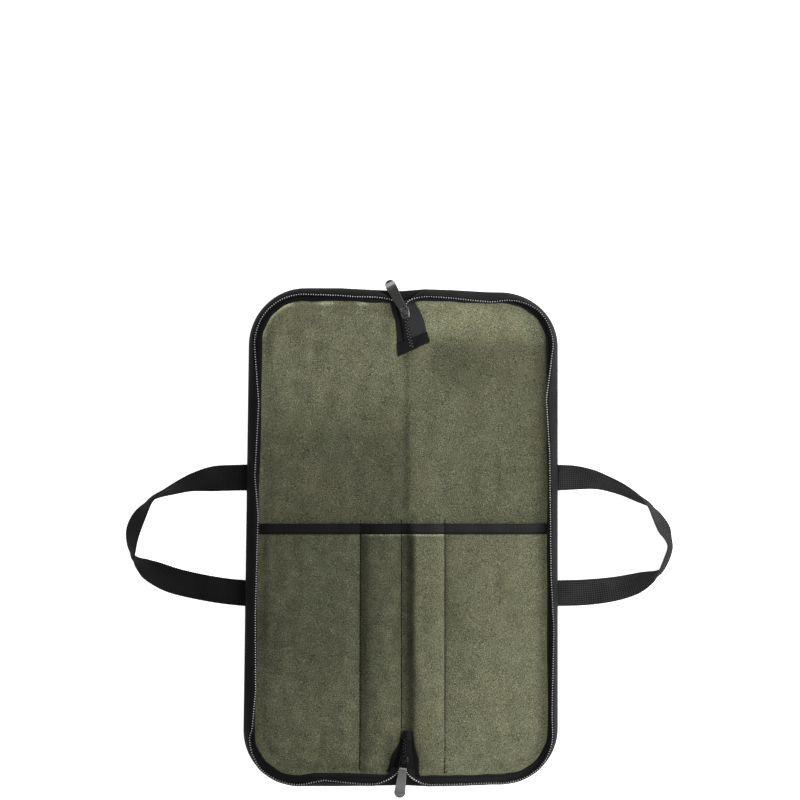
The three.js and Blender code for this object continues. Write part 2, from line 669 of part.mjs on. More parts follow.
function makeCoil(side, lean_rows) {
  const stations = tapeStations(side, lean_rows);
  const circle = Array.from({ length: COIL_SIDES }, (_, k) => (2 * Math.PI * k) / COIL_SIDES);
  const sections = stations.map(({ foot, free }, at) => {
    const rise = free.clone().sub(foot).normalize();
    const along = travel(stations, at, 'free');
    const across = along.clone().cross(rise).normalize();
    const up = across.clone().cross(along).normalize();
    const centre = free.clone().addScaledVector(rise, COIL_RADIUS + 2 * CLEARANCE);
    return circle.map((turn) => centre.clone()
      .addScaledVector(across, COIL_RADIUS * Math.cos(turn))
      .addScaledVector(up, COIL_RADIUS * Math.sin(turn)));
  });
  return sweep(sections, circle.map((turn) => new THREE.Vector2(Math.cos(turn), Math.sin(turn))));
}

// A handle: from one sewn end under the body, round the loop beside it, back to the other sewn end.
function makeHandle(side, reach, rows) {
  const knots = rows.map((row) => new THREE.Vector3(row.out, row.side, row.lean));
  const loop = new THREE.CatmullRomCurve3(knots, false, 'catmullrom', 0.5);
  const spots = [{ out: -HANDLE_SEWN / reach, side: 1, lean: 0 }];
  spots.push({ out: -CLEARANCE / reach, side: 1, lean: 0 });
  for (let step = 1; step < HANDLE_STEPS; step += 1) {
    const spot = loop.getPoint(step / HANDLE_STEPS);
    spots.push({ out: spot.x, side: spot.y, lean: spot.z });
  }
  spots.push({ out: -CLEARANCE / reach, side: -1, lean: 0 });
  spots.push({ out: -HANDLE_SEWN / reach, side: -1, lean: 0 });
  const plan = spots.map((spot) => {
    const y = HANDLE_CENTRE_Y + spot.side * (HANDLE_SPACING / 2);
    return { point: settle(side * (HALF_WIDTH + spot.out * reach), y, 0), lean: spot.lean };
  });
  const sections = plan.map(({ point, lean }, at) => {
    const along = travel(plan, at, 'point');
    const outward = new THREE.Vector3(along.y, -along.x, 0).multiplyScalar(-side);
    if (at < 2 || at > plan.length - 3) outward.set(0, at < 2 ? 1 : -1, 0);
    const turn = THREE.MathUtils.degToRad(Math.max(lean, 0));
    const across = outward.clone().multiplyScalar(Math.cos(turn)).setZ(Math.sin(turn));
    const normal = outward.clone().multiplyScalar(-Math.sin(turn)).setZ(Math.cos(turn));
    const base = (WEBBING_WIDTH / 2) * Math.sin(turn) + WEBBING_THICKNESS * Math.max(0, -Math.cos(turn));
    const centre = point.clone().setZ(base);
    const low = centre.clone().addScaledVector(across, -WEBBING_WIDTH / 2);
    const high = centre.clone().addScaledVector(across, WEBBING_WIDTH / 2);
    const thick = normal.multiplyScalar(WEBBING_THICKNESS);
    return [low, high, high.clone().add(thick), low.clone().add(thick)];
  });
  return sweep(sections, unitSquare());
}

// One section of a closed tail: both tapes with the closed coil on top, lying on the sheet below.
function tailSection(row, zip_end, extra) {
  const { forward, aside, middle } = sliderFrame(zip_end);
  const turn = THREE.MathUtils.degToRad(row.turn);
  const base = sheetTop(middle.x, middle.y) + CLEARANCE;
  const chain_rise = CHAIN_LEVEL - base - TAPE_THICKNESS / 2;
  const under = TAPE_THICKNESS + 2 * extra;
  const half = COIL_RADIUS + extra;
  const crown = COIL_RADIUS * (extra > 0 ? 0.5 : 1);
  const left = -row.left * TAPE_HALF_WIDTH - extra;
  const right = row.right * TAPE_HALF_WIDTH + extra;
  const fold = left * TAIL_FOLD_SHARE;
  const corners = [
    { x: left, rise: row.left_lip, over: under },
    { x: fold, rise: row.fold, over: under },
    { x: -half, rise: row.chain, over: under },
    { x: -half / 2, rise: row.chain, over: under + crown },
    { x: half / 2, rise: row.chain, over: under + crown },
    { x: half, rise: row.chain, over: under },
    { x: right, rise: row.right_lip, over: under },
    { x: right, rise: row.right_lip, over: 0 },
    { x: 0, rise: row.chain, over: 0 },
    { x: fold, rise: row.fold, over: 0 },
    { x: left, rise: row.left_lip, over: 0 },
  ];
  const points = corners.map(({ x, rise, over }) => {
    const spot = middle.clone()
      .addScaledVector(aside, x * Math.cos(turn))
      .addScaledVector(forward, x * Math.sin(turn) * zip_end.end - row.back * zip_end.tail);
    const floor = Math.max(sheetTop(spot.x, spot.y) + CLEARANCE, base + rise * chain_rise);
    return settle(spot.x, spot.y, floor + over);
  });
  return { points, flat: corners.map(({ x, rise, over }) => new THREE.Vector2(x, rise * chain_rise + over)) };
}

// Reads a whole row of a tail's table at a share of its length.
function tailRow(rows, back) {
  const row = { back };
  Object.keys(rows[0]).filter((column) => column !== 'back').forEach((column) => {
    row[column] = readRows(rows, 'back', column, back);
  });
  return row;
}

function makeTail(name) {
  const zip_end = ZIP_ENDS[name];
  const start = (SLIDER_LENGTH / 2 + 2 * CLEARANCE) / zip_end.tail;
  const backs = [start, TAIL_BEND_SHARE, END_TAB_SHARE - CLEARANCE / zip_end.tail];
  const sections = backs.map((back) => tailSection(tailRow(TAIL_ROWS[name], back), zip_end, 0));
  return sweep(sections.map((section) => section.points), sections[0].flat);
}

function makeEndTab(name) {
  const backs = [END_TAB_SHARE, (1 + END_TAB_SHARE) / 2, 1];
  const rows = backs.map((back) => tailRow(TAIL_ROWS[name], back));
  const sections = rows.map((row) => tailSection(row, ZIP_ENDS[name], END_TAB_EXTRA / 2));
  return sweep(sections.map((section) => section.points), sections[0].flat);
}

// Turns a closed three.js geometry into a solid, and back.
function toSolid(geometry) {
  const bare = geometry.clone();
  bare.deleteAttribute('normal');
  bare.deleteAttribute('uv');
  const merged = mergeVertices(bare, WELD);
  return new wasm.Manifold(new wasm.Mesh({
    numProp: 3,
    vertProperties: new Float32Array(merged.attributes.position.array),
    triVerts: new Uint32Array(merged.index.array),
  }));
}

function toGeometry(solid) {
  const mesh = solid.getMesh();
  const geometry = new THREE.BufferGeometry();
  geometry.setAttribute('position', new THREE.BufferAttribute(mesh.vertProperties, 3));
  geometry.setIndex(new THREE.BufferAttribute(mesh.triVerts, 1));
  geometry.computeVertexNormals();
  return geometry;
}

function block(width, length, height, x, y, z) {
  return toSolid(new THREE.BoxGeometry(width, length, height).translate(x, y, z + height / 2));
}

// A flat plate that narrows from one end to the other, with rounded corners.
function taperedPlate(near_width, far_width, near_y, far_y, height, z, round) {
  const shape = new THREE.Shape();
  const near = near_width / 2;
  const far = far_width / 2;
  shape.moveTo(-near + round, near_y);
  shape.lineTo(near - round, near_y);
  shape.quadraticCurveTo(near, near_y, near, near_y + round);
  shape.lineTo(far, far_y - round);
  shape.quadraticCurveTo(far, far_y, far - round, far_y);
  shape.lineTo(-far + round, far_y);
  shape.quadraticCurveTo(-far, far_y, -far, far_y - round);
  shape.lineTo(-near, near_y + round);
  shape.quadraticCurveTo(-near, near_y, -near + round, near_y);
  const flat = { depth: height, bevelEnabled: false, curveSegments: PLATE_SEGMENTS };
  const plate = new THREE.ExtrudeGeometry(shape, flat);
  return toSolid(plate.translate(0, 0, z));
}

// The slider: two plates and side flanges round the coil's channel, a post in its mouth, a bridge on top.
function makeSlider() {
  const half = SLIDER_LENGTH / 2;
  const height = 2 * SLIDER_PLATE + SLIDER_CHANNEL;
  const inner_z = SLIDER_LIFT + SLIDER_PLATE;
  const top = SLIDER_LIFT + height;
  const channel_near = SLIDER_TAIL_WIDTH - 2 * SLIDER_WALL;
  const channel_far = SLIDER_MOUTH_WIDTH - 2 * SLIDER_WALL;
  const plan = [-half, half];
  const cut = [-half - CUT_PAST, half + CUT_PAST];
  const widths = [SLIDER_TAIL_WIDTH, SLIDER_MOUTH_WIDTH];
  const outside = taperedPlate(...widths, ...plan, height, SLIDER_LIFT, SLIDER_WALL);
  const channel = taperedPlate(channel_near, channel_far, ...cut, SLIDER_CHANNEL, inner_z, SLIDER_ROUND);
  const slot = block(SLIDER_MOUTH_WIDTH + CUT_PAST, SLIDER_LENGTH + CUT_PAST, TAPE_SLOT, 0, 0, inner_z);
  const post_plan = [half - POST_LENGTH, half];
  const post = taperedPlate(SLIDER_POST / 2, SLIDER_POST, ...post_plan, height, SLIDER_LIFT, SLIDER_ROUND);
  const body = outside.subtract(channel).subtract(slot).add(post);
  const root = SLIDER_PLATE / 2;
  const bridge = block(BRIDGE_WIDTH, BRIDGE_LENGTH, root + BRIDGE_CLEAR + BRIDGE_THICKNESS, 0, 0, top - root)
    .subtract(block(BRIDGE_WIDTH + CUT_PAST, BRIDGE_LENGTH - 2 * BRIDGE_THICKNESS, BRIDGE_CLEAR, 0, 0, top));
  return toGeometry(body.add(bridge));
}

// The pull tab: its crossbar lies under the bridge, on the tab's own pivot line, and its window round it.
function makePull(root_width) {
  const shape = new THREE.Shape();
  const root = root_width / 2;
  const tip = PULL_TIP_WIDTH / 2;
  const heel = -PULL_CROSSBAR / 2;
  shape.moveTo(-root, heel);
  shape.lineTo(root, heel);
  shape.lineTo(root, PULL_WINDOW_LENGTH + PULL_CROSSBAR);
  shape.lineTo(tip, PULL_LENGTH - tip);
  shape.absarc(0, PULL_LENGTH - tip, tip, 0, Math.PI, false);
  shape.lineTo(-root, PULL_WINDOW_LENGTH + PULL_CROSSBAR);
  const flat = { depth: PULL_THICKNESS, bevelEnabled: false, curveSegments: PULL_TIP_SEGMENTS };
  const plate = toSolid(new THREE.ExtrudeGeometry(shape, flat));
  const window_y = (PULL_CROSSBAR + PULL_WINDOW_LENGTH) / 2;
  const window_depth = PULL_THICKNESS + 2 * CUT_PAST;
  const window = block(PULL_WINDOW_WIDTH, PULL_WINDOW_LENGTH, window_depth, 0, window_y, -CUT_PAST);
  return toGeometry(plate.subtract(window)).translate(0, 0, -PULL_THICKNESS / 2);
}

const finishes = {
  canvas: new THREE.MeshStandardMaterial({ color: OLIVE_CANVAS, roughness: 0.85, metalness: 0 }),
  lining: new THREE.MeshStandardMaterial({ color: OLIVE_LINING, roughness: 0.85, metalness: 0 }),
  binding: new THREE.MeshStandardMaterial({ color: BINDING_BLACK, roughness: 0.7, metalness: 0 }),
  tape: new THREE.MeshStandardMaterial({ color: TAPE_BLACK, roughness: 0.75, metalness: 0 }),
  coil: new THREE.MeshStandardMaterial({ color: COIL_GREY, roughness: 0.4, metalness: 0 }),
  webbing: new THREE.MeshStandardMaterial({ color: WEBBING_BLACK, roughness: 0.8, metalness: 0 }),
  metal: new THREE.MeshStandardMaterial({ color: GUNMETAL, roughness: 0.35, metalness: 0.9 }),
};

const roll = new THREE.Group();

function addPiece(parent, name, geometry, finish) {
  const mesh = new THREE.Mesh(geometry, finishes[finish]);
  mesh.name = name;
  parent.add(mesh);
  return mesh;
}

const POCKET_LINES = Y_LINES.filter((y) => y <= MOUTH_Y);
addPiece(roll, 'outer_shell', sheet(X_LINES, Y_LINES, shellBottom,
  (x, y) => shellBottom(x, y) + CANVAS_THICKNESS), 'canvas');
addPiece(roll, 'lining', sheet(X_LINES, Y_LINES, liningBottom, liningTop), 'lining');
addPiece(roll, 'pocket_panel', sheet(X_LINES, POCKET_LINES, panelBottom,
  (x, y) => panelBottom(x, y) + CANVAS_THICKNESS), 'lining');
addPiece(roll, 'pocket_binding', makePocketBinding(), 'binding');
addPiece(roll, 'edge_binding', makeEdgeBinding(), 'binding');

for (const [name, side, rows] of [['left', -1, LEFT_LEAN_ROWS], ['right', 1, RIGHT_LEAN_ROWS]]) {
  addPiece(roll, `zipper_tape_${name}`, makeTape(side, rows), 'tape');
  addPiece(roll, `zipper_coil_${name}`, makeCoil(side, rows), 'coil');
}

addPiece(roll, 'handle_left', makeHandle(-1, LEFT_HANDLE_REACH, LEFT_HANDLE_ROWS), 'webbing');
addPiece(roll, 'handle_right', makeHandle(1, RIGHT_HANDLE_REACH, RIGHT_HANDLE_ROWS), 'webbing');

for (const [name, zip_end] of Object.entries(ZIP_ENDS)) {
  const { middle } = sliderFrame(zip_end);
  const station = new THREE.Group();
  station.position.copy(settle(middle.x, middle.y, 0));
  station.rotation.z = THREE.MathUtils.degToRad(zip_end.heading) + (zip_end.end > 0 ? 0 : Math.PI);
  roll.add(station);
  addPiece(roll, `zipper_tail_${name}`, makeTail(name), 'tape');
  addPiece(roll, `zipper_end_tab_${name}`, makeEndTab(name), 'binding');
  addPiece(station, `slider_${name}`, makeSlider(), 'metal');
  const pull = addPiece(station, `pull_${name}`, makePull(zip_end.pull_root), 'metal');
  pull.position.z = PIVOT_LEVEL;
  pull.rotation.z = THREE.MathUtils.degToRad(zip_end.pull_turn);
}

export default roll;
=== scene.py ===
"""Chef knife roll of waxed canvas, unzipped and lying open with its inside up.

Sizes in the classes are millimetres in the part's own frame: +X is the right half, +Y the end away from the
pockets, +Z up from the surface that the roll lies on. They become metres when a mesh is made.
"""
import logging
import math
from dataclasses import dataclass
from enum import Enum
from typing import Callable

import bmesh
import bpy
import numpy as np
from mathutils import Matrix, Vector


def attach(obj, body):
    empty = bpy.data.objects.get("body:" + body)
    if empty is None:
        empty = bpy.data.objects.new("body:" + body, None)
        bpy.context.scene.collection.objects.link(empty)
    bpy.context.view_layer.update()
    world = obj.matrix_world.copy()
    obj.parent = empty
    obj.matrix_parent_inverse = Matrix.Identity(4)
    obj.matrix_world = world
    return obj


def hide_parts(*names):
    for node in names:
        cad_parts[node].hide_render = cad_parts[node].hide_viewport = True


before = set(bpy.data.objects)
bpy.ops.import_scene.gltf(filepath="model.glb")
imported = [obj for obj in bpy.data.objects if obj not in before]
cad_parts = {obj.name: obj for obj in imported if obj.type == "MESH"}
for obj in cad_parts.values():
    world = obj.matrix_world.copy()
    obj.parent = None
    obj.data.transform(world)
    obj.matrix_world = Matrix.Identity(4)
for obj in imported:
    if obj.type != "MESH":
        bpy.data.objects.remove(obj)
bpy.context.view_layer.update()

log = logging.getLogger("knife_roll")

MM = 0.001
TONE = "tone"

Array = np.ndarray
Pair = tuple[float, float]
Point = tuple[float, float, float]
Floats = tuple[float, ...]
Field = Callable[[Array, Array], Array]
Piece = bpy.types.Object
Tree = bpy.types.NodeTree
Socket = bpy.types.NodeSocket
Finishes = dict[str, bpy.types.Material]


class Side(Enum):
    """The two halves of the roll, by the sign of X."""

    LEFT = -1
    RIGHT = 1

    @property
    def word(self) -> str:
        """The half's word in the names of pieces."""
        return self.name.lower()


class End(Enum):
    """The two ends of the zip, by the sign of Y."""

    TOP = 1
    BOTTOM = -1

    @property
    def word(self) -> str:
        """The end's word in the names of pieces."""
        return self.name.lower()


def srgb(code: str) -> tuple[float, float, float, float]:
    """Turns a six-digit sRGB hex colour to linear light.

    Args:
        code: the colour, such as "5b5f43".

    Returns:
        Linear red, green and blue, and an alpha of 1.
    """
    shares = [int(code[at:at + 2], 16) / 255 for at in (0, 2, 4)]
    linear = [s / 12.92 if s <= 0.04045 else ((s + 0.055) / 1.055) ** 2.4 for s in shares]
    return (*linear, 1.0)


def add_node(tree: Tree, kind: str, settings: dict | None = None,
             inputs: dict | None = None) -> bpy.types.Node:
    """Adds a node, sets its properties, and fills or links its inputs.

    Args:
        tree: the node tree.
        kind: the node's type.
        settings: values for the node's own properties.
        inputs: values or output sockets for its inputs, by name or number.

    Returns:
        The new node.
    """
    node = tree.nodes.new(kind)
    for name, value in (settings or {}).items():
        setattr(node, name, value)
    for key, value in (inputs or {}).items():
        if isinstance(value, Socket):
            tree.links.new(value, node.inputs[key])
        else:
            node.inputs[key].default_value = value
    return node


def blank_material(name: str) -> tuple[bpy.types.Material, Tree]:
    """Makes a material with an empty node tree and returns both."""
    material = bpy.data.materials.new(name)
    material.use_nodes = True
    material.node_tree.nodes.clear()
    return material, material.node_tree


def noise(tree: Tree, place: Socket, size: float, detail: float, roughness: float = 0.5,
          distortion: float = 0.0) -> Socket:
    """Adds a noise whose grain is a size in millimetres.

    Args:
        tree: the node tree.
        place: where the noise is read.
        size: its grain.
        detail: how many finer layers it has.
        roughness: how strong they are.
        distortion: how far it is stirred.

    Returns:
        The noise's value.
    """
    return add_node(tree, "ShaderNodeTexNoise", None, {
        "Vector": place, "Scale": 1 / (size * MM), "Detail": detail, "Roughness": roughness,
        "Distortion": distortion}).outputs["Fac"]


def remap(tree: Tree, value: Socket, source: Pair, target: Pair = (0.0, 1.0)) -> Socket:
    """Maps a value from one range to another and keeps it within that."""
    return add_node(tree, "ShaderNodeMapRange", None, {
        "Value": value, "From Min": source[0], "From Max": source[1], "To Min": target[0],
        "To Max": target[1]}).outputs["Result"]


def blend(tree: Tree, share: Socket, low: Socket | tuple, high: Socket | tuple) -> Socket:
    """Mixes two colours, the first one where the share is 0."""
    return add_node(tree, "ShaderNodeMix", {"data_type": "RGBA"}, {0: share, 6: low, 7: high}).outputs[2]


def toned(tree: Tree, colour: Socket) -> Socket:
    """Makes a colour lighter or darker by the tone that is written into the mesh."""
    tone = add_node(tree, "ShaderNodeAttribute", {"attribute_name": TONE}).outputs["Fac"]
    scaled = add_node(tree, "ShaderNodeVectorMath", {"operation": "SCALE"}, {0: colour, "Scale": tone})
    return scaled.outputs[0]


def add_shader(tree: Tree, inputs: dict) -> None:
    """Adds the surface shader with its inputs and links it to the output."""
    shader = add_node(tree, "ShaderNodeBsdfPrincipled", None, inputs)
    add_node(tree, "ShaderNodeOutputMaterial", None, {"Surface": shader.outputs[0]})


@dataclass(frozen=True)
class WaxedCanvas:
    """Waxed cotton canvas: matt and felt-like, pale fibre tips over a mottled ground where the wax has moved.

    The real threads lie about half a millimetre apart, finer than a pixel, so the fibres are drawn coarser.
    """

    name: str
    ground: str = "444735"
    green: str = "5b5e49"
    brown: str = "5f5c47"
    fibre: str = "9a9b7d"
    pit: str = "292b20"
    fibre_size: float = 0.5
    clump_size: float = 3.4
    clump_share: float = 0.12
    tip_range: Pair = (0.56, 0.76)
    pit_range: Pair = (0.56, 0.36)
    blotch: float = 17.0
    blotch_range: Pair = (0.3, 0.68)
    stain: float = 60.0
    stain_range: Pair = (0.42, 0.6)
    roughness: float = 0.85
    relief: float = 0.7

    def build(self) -> bpy.types.Material:
        """Makes the canvas material."""
        material, tree = blank_material(self.name)
        place = add_node(tree, "ShaderNodeTexCoord").outputs["Object"]
        fibre = noise(tree, place, self.fibre_size, 1.0)
        clump = noise(tree, place, self.clump_size * self.fibre_size, 2.0, 0.6)
        blotch = noise(tree, place, self.blotch, 3.0, 0.6, 0.5)
        stain = noise(tree, place, self.stain, 2.0, distortion=0.4)
        body = blend(tree, remap(tree, stain, self.stain_range), srgb(self.green), srgb(self.brown))
        blotched = remap(tree, blotch, self.blotch_range, (0.1, 1.0))
        cloth = blend(tree, blotched, srgb(self.ground), body)
        clumped = add_node(tree, "ShaderNodeMath", {"operation": "MULTIPLY_ADD"}, {
            0: clump, 1: self.clump_share, 2: fibre}).outputs[0]
        tipped = blend(tree, remap(tree, clumped, self.tip_range), cloth, srgb(self.fibre))
        pitted = blend(tree, remap(tree, clumped, self.pit_range), tipped, srgb(self.pit))
        bump = add_node(tree, "ShaderNodeBump", None, {
            "Strength": self.relief, "Distance": 0.3 * MM, "Height": clumped})
        add_shader(tree, {
            "Base Color": toned(tree, pitted), "Roughness": self.roughness, "IOR": 1.45,
            "Specular IOR Level": 0.15, "Normal": bump.outputs[0]})
        return material


@dataclass(frozen=True)
class WovenTape:
    """Woven polyester tape or polypropylene webbing: dark ribs along it, crossed by the weft's picks.

    UV runs across the tape and along it, in metres. Ribs are drawn at rib spacing, and picks crossing them.
    """

    name: str
    colour: str
    deep: str
    rib: float = 1.6
    pick: float = 2.0
    relief: float = 0.5
    rib_share: float = 0.5
    roughness: float = 0.75
    gloss: float = 0.06

    def build(self) -> bpy.types.Material:
        """Makes the tape material."""
        material, tree = blank_material(self.name)
        flat = add_node(tree, "ShaderNodeUVMap", {"uv_map": "UVMap"}).outputs["UV"]
        place = add_node(tree, "ShaderNodeTexCoord").outputs["Object"]
        ribs = add_node(tree, "ShaderNodeTexWave", {"bands_direction": "X"}, {
            "Vector": flat, "Scale": math.pi / (10 * self.rib * MM), "Distortion": 0.3, "Detail": 0.0})
        picks = add_node(tree, "ShaderNodeTexWave", {"bands_direction": "Y"}, {
            "Vector": flat, "Scale": math.pi / (10 * self.pick * MM), "Distortion": 0.6, "Detail": 1.0})
        fuzz = noise(tree, place, 1.1, 2.0, 0.7)
        soil = noise(tree, place, 18, 1.5)
        weave = add_node(tree, "ShaderNodeMix", {"data_type": "FLOAT"}, {
            0: self.rib_share, 2: picks.outputs["Fac"], 3: ribs.outputs["Fac"]})
        rough = add_node(tree, "ShaderNodeMath", {"operation": "MULTIPLY_ADD"}, {0: fuzz, 1: 0.6, 2: -0.3})
        height = add_node(tree, "ShaderNodeMath", {"operation": "ADD", "use_clamp": True}, {
            0: weave.outputs[0], 1: rough.outputs[0]})
        stain = add_node(tree, "ShaderNodeMath", {"operation": "MULTIPLY_ADD"}, {0: soil, 1: 0.5, 2: -0.25})
        share = add_node(tree, "ShaderNodeMath", {"operation": "ADD", "use_clamp": True}, {
            0: height.outputs[0], 1: stain.outputs[0]})
        colour = blend(tree, share.outputs[0], srgb(self.deep), srgb(self.colour))
        bump = add_node(tree, "ShaderNodeBump", None, {
            "Strength": self.relief, "Distance": 0.3 * MM, "Height": height.outputs[0]})
        add_shader(tree, {
            "Base Color": toned(tree, colour), "Roughness": self.roughness, "IOR": 1.5,
            "Specular IOR Level": self.gloss, "Normal": bump.outputs[0]})
        return material


@dataclass(frozen=True)
class MouldedNylon:
    """Nylon or polyester filament: smooth and faintly cloudy, with a soft gloss."""

    name: str
    colour: str
    deep: str
    roughness: float = 0.38
    gloss: float = 0.35

    def build(self) -> bpy.types.Material:
        """Makes the nylon material."""
        material, tree = blank_material(self.name)
        place = add_node(tree, "ShaderNodeTexCoord").outputs["Object"]
        colour = blend(tree, noise(tree, place, 5, 2.0, 0.7), srgb(self.deep), srgb(self.colour))
        add_shader(tree, {
            "Base Color": toned(tree, colour), "Roughness": self.roughness, "IOR": 1.53,
            "Specular IOR Level": self.gloss})
        return material


@dataclass(frozen=True)
class PlatedZinc:
    """Die-cast zinc with dark nickel plating: tumbled smooth and faintly cloudy; painted highlights come from
    the tone in the mesh.
    """

    name: str
    colour: str
    deep: str
    roughness: float = 0.3

    def build(self) -> bpy.types.Material:
        """Makes the plated metal material."""
        material, tree = blank_material(self.name)
        place = add_node(tree, "ShaderNodeTexCoord").outputs["Object"]
        cloud = noise(tree, place, 1.5, 3.0, 0.6)
        colour = blend(tree, cloud, srgb(self.deep), srgb(self.colour))
        haze = remap(tree, cloud, (0.0, 1.0), (self.roughness - 0.08, self.roughness + 0.12))
        bump = add_node(tree, "ShaderNodeBump", None, {
            "Strength": 0.15, "Distance": 0.05 * MM, "Height": cloud})
        add_shader(tree, {
            "Base Color": toned(tree, colour), "Metallic": 1.0, "Roughness": haze,
            "Normal": bump.outputs[0]})
        return material


def smooth_step(share: Array) -> Array:
    """Eases a share between 0 and 1."""
    share = np.clip(share, 0, 1)
    return share * share * (3 - 2 * share)


def fade(value: Array, start: float, length: float) -> Array:
    """Falls softly from 1 to 0, from start on, over a length."""
    return smooth_step(1 - (value - start) / length)


def crest(value: Array, middle: float, spread: float) -> Array:
    """A soft rise of height 1 round a middle."""
    return np.exp(-(((value - middle) / spread) ** 2))


def hill(x: Array, y: Array, middle: Pair, spread: Pair) -> Array:
    """A soft round rise of height 1 at a middle, with a spread in X and in Y."""
    return np.exp(-(((x - middle[0]) / spread[0]) ** 2) - ((y - middle[1]) / spread[1]) ** 2)


@dataclass(frozen=True)
class Puff:
    """A small rise of the lining, where the cloth is gathered at the rim."""

    x: float
    y: float
    wide: float
    long: float
    height: float


@dataclass(frozen=True)
class Pocket:
    """One pocket: its stitch lines, how much cloth lies down beside each, and how full its arch is."""

    left: float
    right: float
    down_left: float = 0.0
    down_right: float = 0.0
    power: float = 0.6


@dataclass(frozen=True)
class RollForm:
    """The shape that all the layers of the open roll share.

    A method of x and y takes places across and along the plain body and returns a value at each.
    """

    length: float = 480.0
    width: float = 300.0
    corner: float = 55.0
    left_taper: float = 3.3
    end_droop: float = 4.8
    droop_power: float = 4.0
    gap: float = 0.3
    canvas: float = 1.2
    binding: float = 1.0
    rim: float = 10.8
    sheet_inset: float = 1.9
    sag_fade: float = 13.0
    pillow_height: float = 2.0
    pillow_fade: float = 15.0
    valley_x: float = 2.6
    valley: float = 12.0
    strap_sewn: float = 51.5
    strap_fade: float = 10.0
    strap_centres: Pair = (57.7, -53.5)
    strap_plateau: float = 14.2
    webbing: float = 1.6
    mouth_y: float = 12.4
    band_end_y: float = 1.1
    back_lift_height: float = 1.1
    step_fade: float = 8.0
    pocket_depth: float = 252.4
    gape: float = 7.5
    gape_depths: Floats = (0.0, 0.45, 0.79, 0.95)
    gape_shares: Floats = (1.0, 0.9, 0.6, 0.0)
    droop_places: Floats = (-1.0, -0.4, -0.17, 0.0, 0.15, 0.32, 0.55, 1.0)
    droop_top: Floats = (0.0, 0.0, 0.38, 0.58, 0.2, 0.38, 0.8, 1.0)
    droop_bottom: Floats = (0.15, 0.15, 0.25, 0.38, 0.15, 0.2, 0.5, 0.8)
    pockets: tuple[Pocket, ...] = (
        Pocket(-139.2, -39.9, power=0.62),
        Pocket(-39.9, -0.5, power=0.7),
        Pocket(-0.5, 41.2, down_left=7.2, power=0.5),
        Pocket(41.2, 139.2, power=0.62),
    )
    puffs: tuple[Puff, ...] = (
        Puff(-77, 221, 9, 7, 1.6),
        Puff(-40, 222, 6, 6, 1.4),
        Puff(-60, 224, 7, 5, -0.5),
        Puff(70, 220, 14, 7, 1.0),
        Puff(-33, -219, 9, 6, 1.5),
        Puff(-20, -214, 8, 7, 1.2),
        Puff(40, -217, 12, 7, 1.1),
        Puff(6, 26, 3.5, 5, 0.9),
    )
    crumple_height: float = 0.16
    crumple_waves: int = 26
    seed: int = 11

    @property
    def straight_x(self) -> float:
        """Half the straight part of an end edge."""
        return self.width / 2 - self.corner

    @property
    def straight_y(self) -> float:
        """Half the straight part of a side edge."""
        return self.length / 2 - self.corner

    def edge_distance(self, x: Array, y: Array) -> Array:
        """How far a point of the plain rounded rectangle lies inside its outline."""
        over_x = np.abs(x) - self.straight_x
        over_y = np.abs(y) - self.straight_y
        outside = np.hypot(np.maximum(over_x, 0), np.maximum(over_y, 0))
        return self.corner - outside - np.minimum(np.maximum(over_x, over_y), 0)

    def settle(self, x: Array, y: Array, z: Array) -> Array:
        """Moves points of the plain rounded rectangle to where the real, slightly uneven body has them.

        Args:
            x: places across the plain rectangle.
            y: places along it.
            z: heights, which stay as they are.

        Returns:
            The points, x, y and z in the last axis.
        """
        x, y, z = np.broadcast_arrays(np.asarray(x, float), np.asarray(y, float), np.asarray(z, float))
        across = x / (self.width / 2)
        droop = np.where(y > 0, np.interp(across, self.droop_places, self.droop_top),
                         np.interp(across, self.droop_places, self.droop_bottom))
        along = np.clip(np.abs(y) / (self.length / 2), 0, 1)
        shift = np.where(x < 0, self.left_taper * (y / (self.length / 2)) * np.minimum(1, -across), 0)
        drop = np.sign(y) * self.end_droop * droop * along ** self.droop_power
        return np.stack([x + shift, y - drop, z], -1)

    def crumple(self, x: Array, y: Array) -> Array:
        """Low, soft unevenness of cloth that was folded and rolled, the same for every layer."""
        chance = np.random.default_rng(self.seed)
        rise = np.zeros_like(np.asarray(x, float) + np.asarray(y, float))
        for _ in range(self.crumple_waves):
            length = chance.uniform(22, 95)
            turn = chance.uniform(0, math.pi)
            phase = chance.uniform(0, 2 * math.pi)
            rise += np.sin(2 * math.pi * (x * math.cos(turn) + 0.6 * y * math.sin(turn)) / length + phase)
        inside = 1 - fade(self.edge_distance(x, y), self.rim, self.pillow_fade)
        return self.crumple_height * rise * inside

    def puff(self, x: Array, y: Array) -> Array:
        """The gathered rises of the lining."""
        inside = 1 - fade(self.edge_distance(x, y), self.rim - 1, 5)
        rise = sum(p.height * hill(x, y, (p.x, p.y), (p.wide, p.long)) for p in self.puffs)
        return rise * inside

    def strap_lift(self, x: Array, y: Array) -> Array:
        """Height of the outer canvas over the surface where the handle ends lie under it."""
        across = fade(self.width / 2 - np.abs(x), self.strap_sewn, self.strap_fade)
        shares = [fade(np.abs(y - c), self.strap_plateau, self.strap_fade) for c in self.strap_centres]
        return (self.webbing + self.gap) * np.minimum(across, np.maximum(*shares))

    def shell_bottom(self, x: Array, y: Array) -> Array:
        """Underside of the outer canvas."""
        return (self.binding + self.gap) * fade(self.edge_distance(x, y), self.rim, self.sag_fade) \
            + self.strap_lift(x, y)

    def shell_top(self, x: Array, y: Array) -> Array:
        """Upper face of the outer canvas."""
        return self.shell_bottom(x, y) + self.canvas

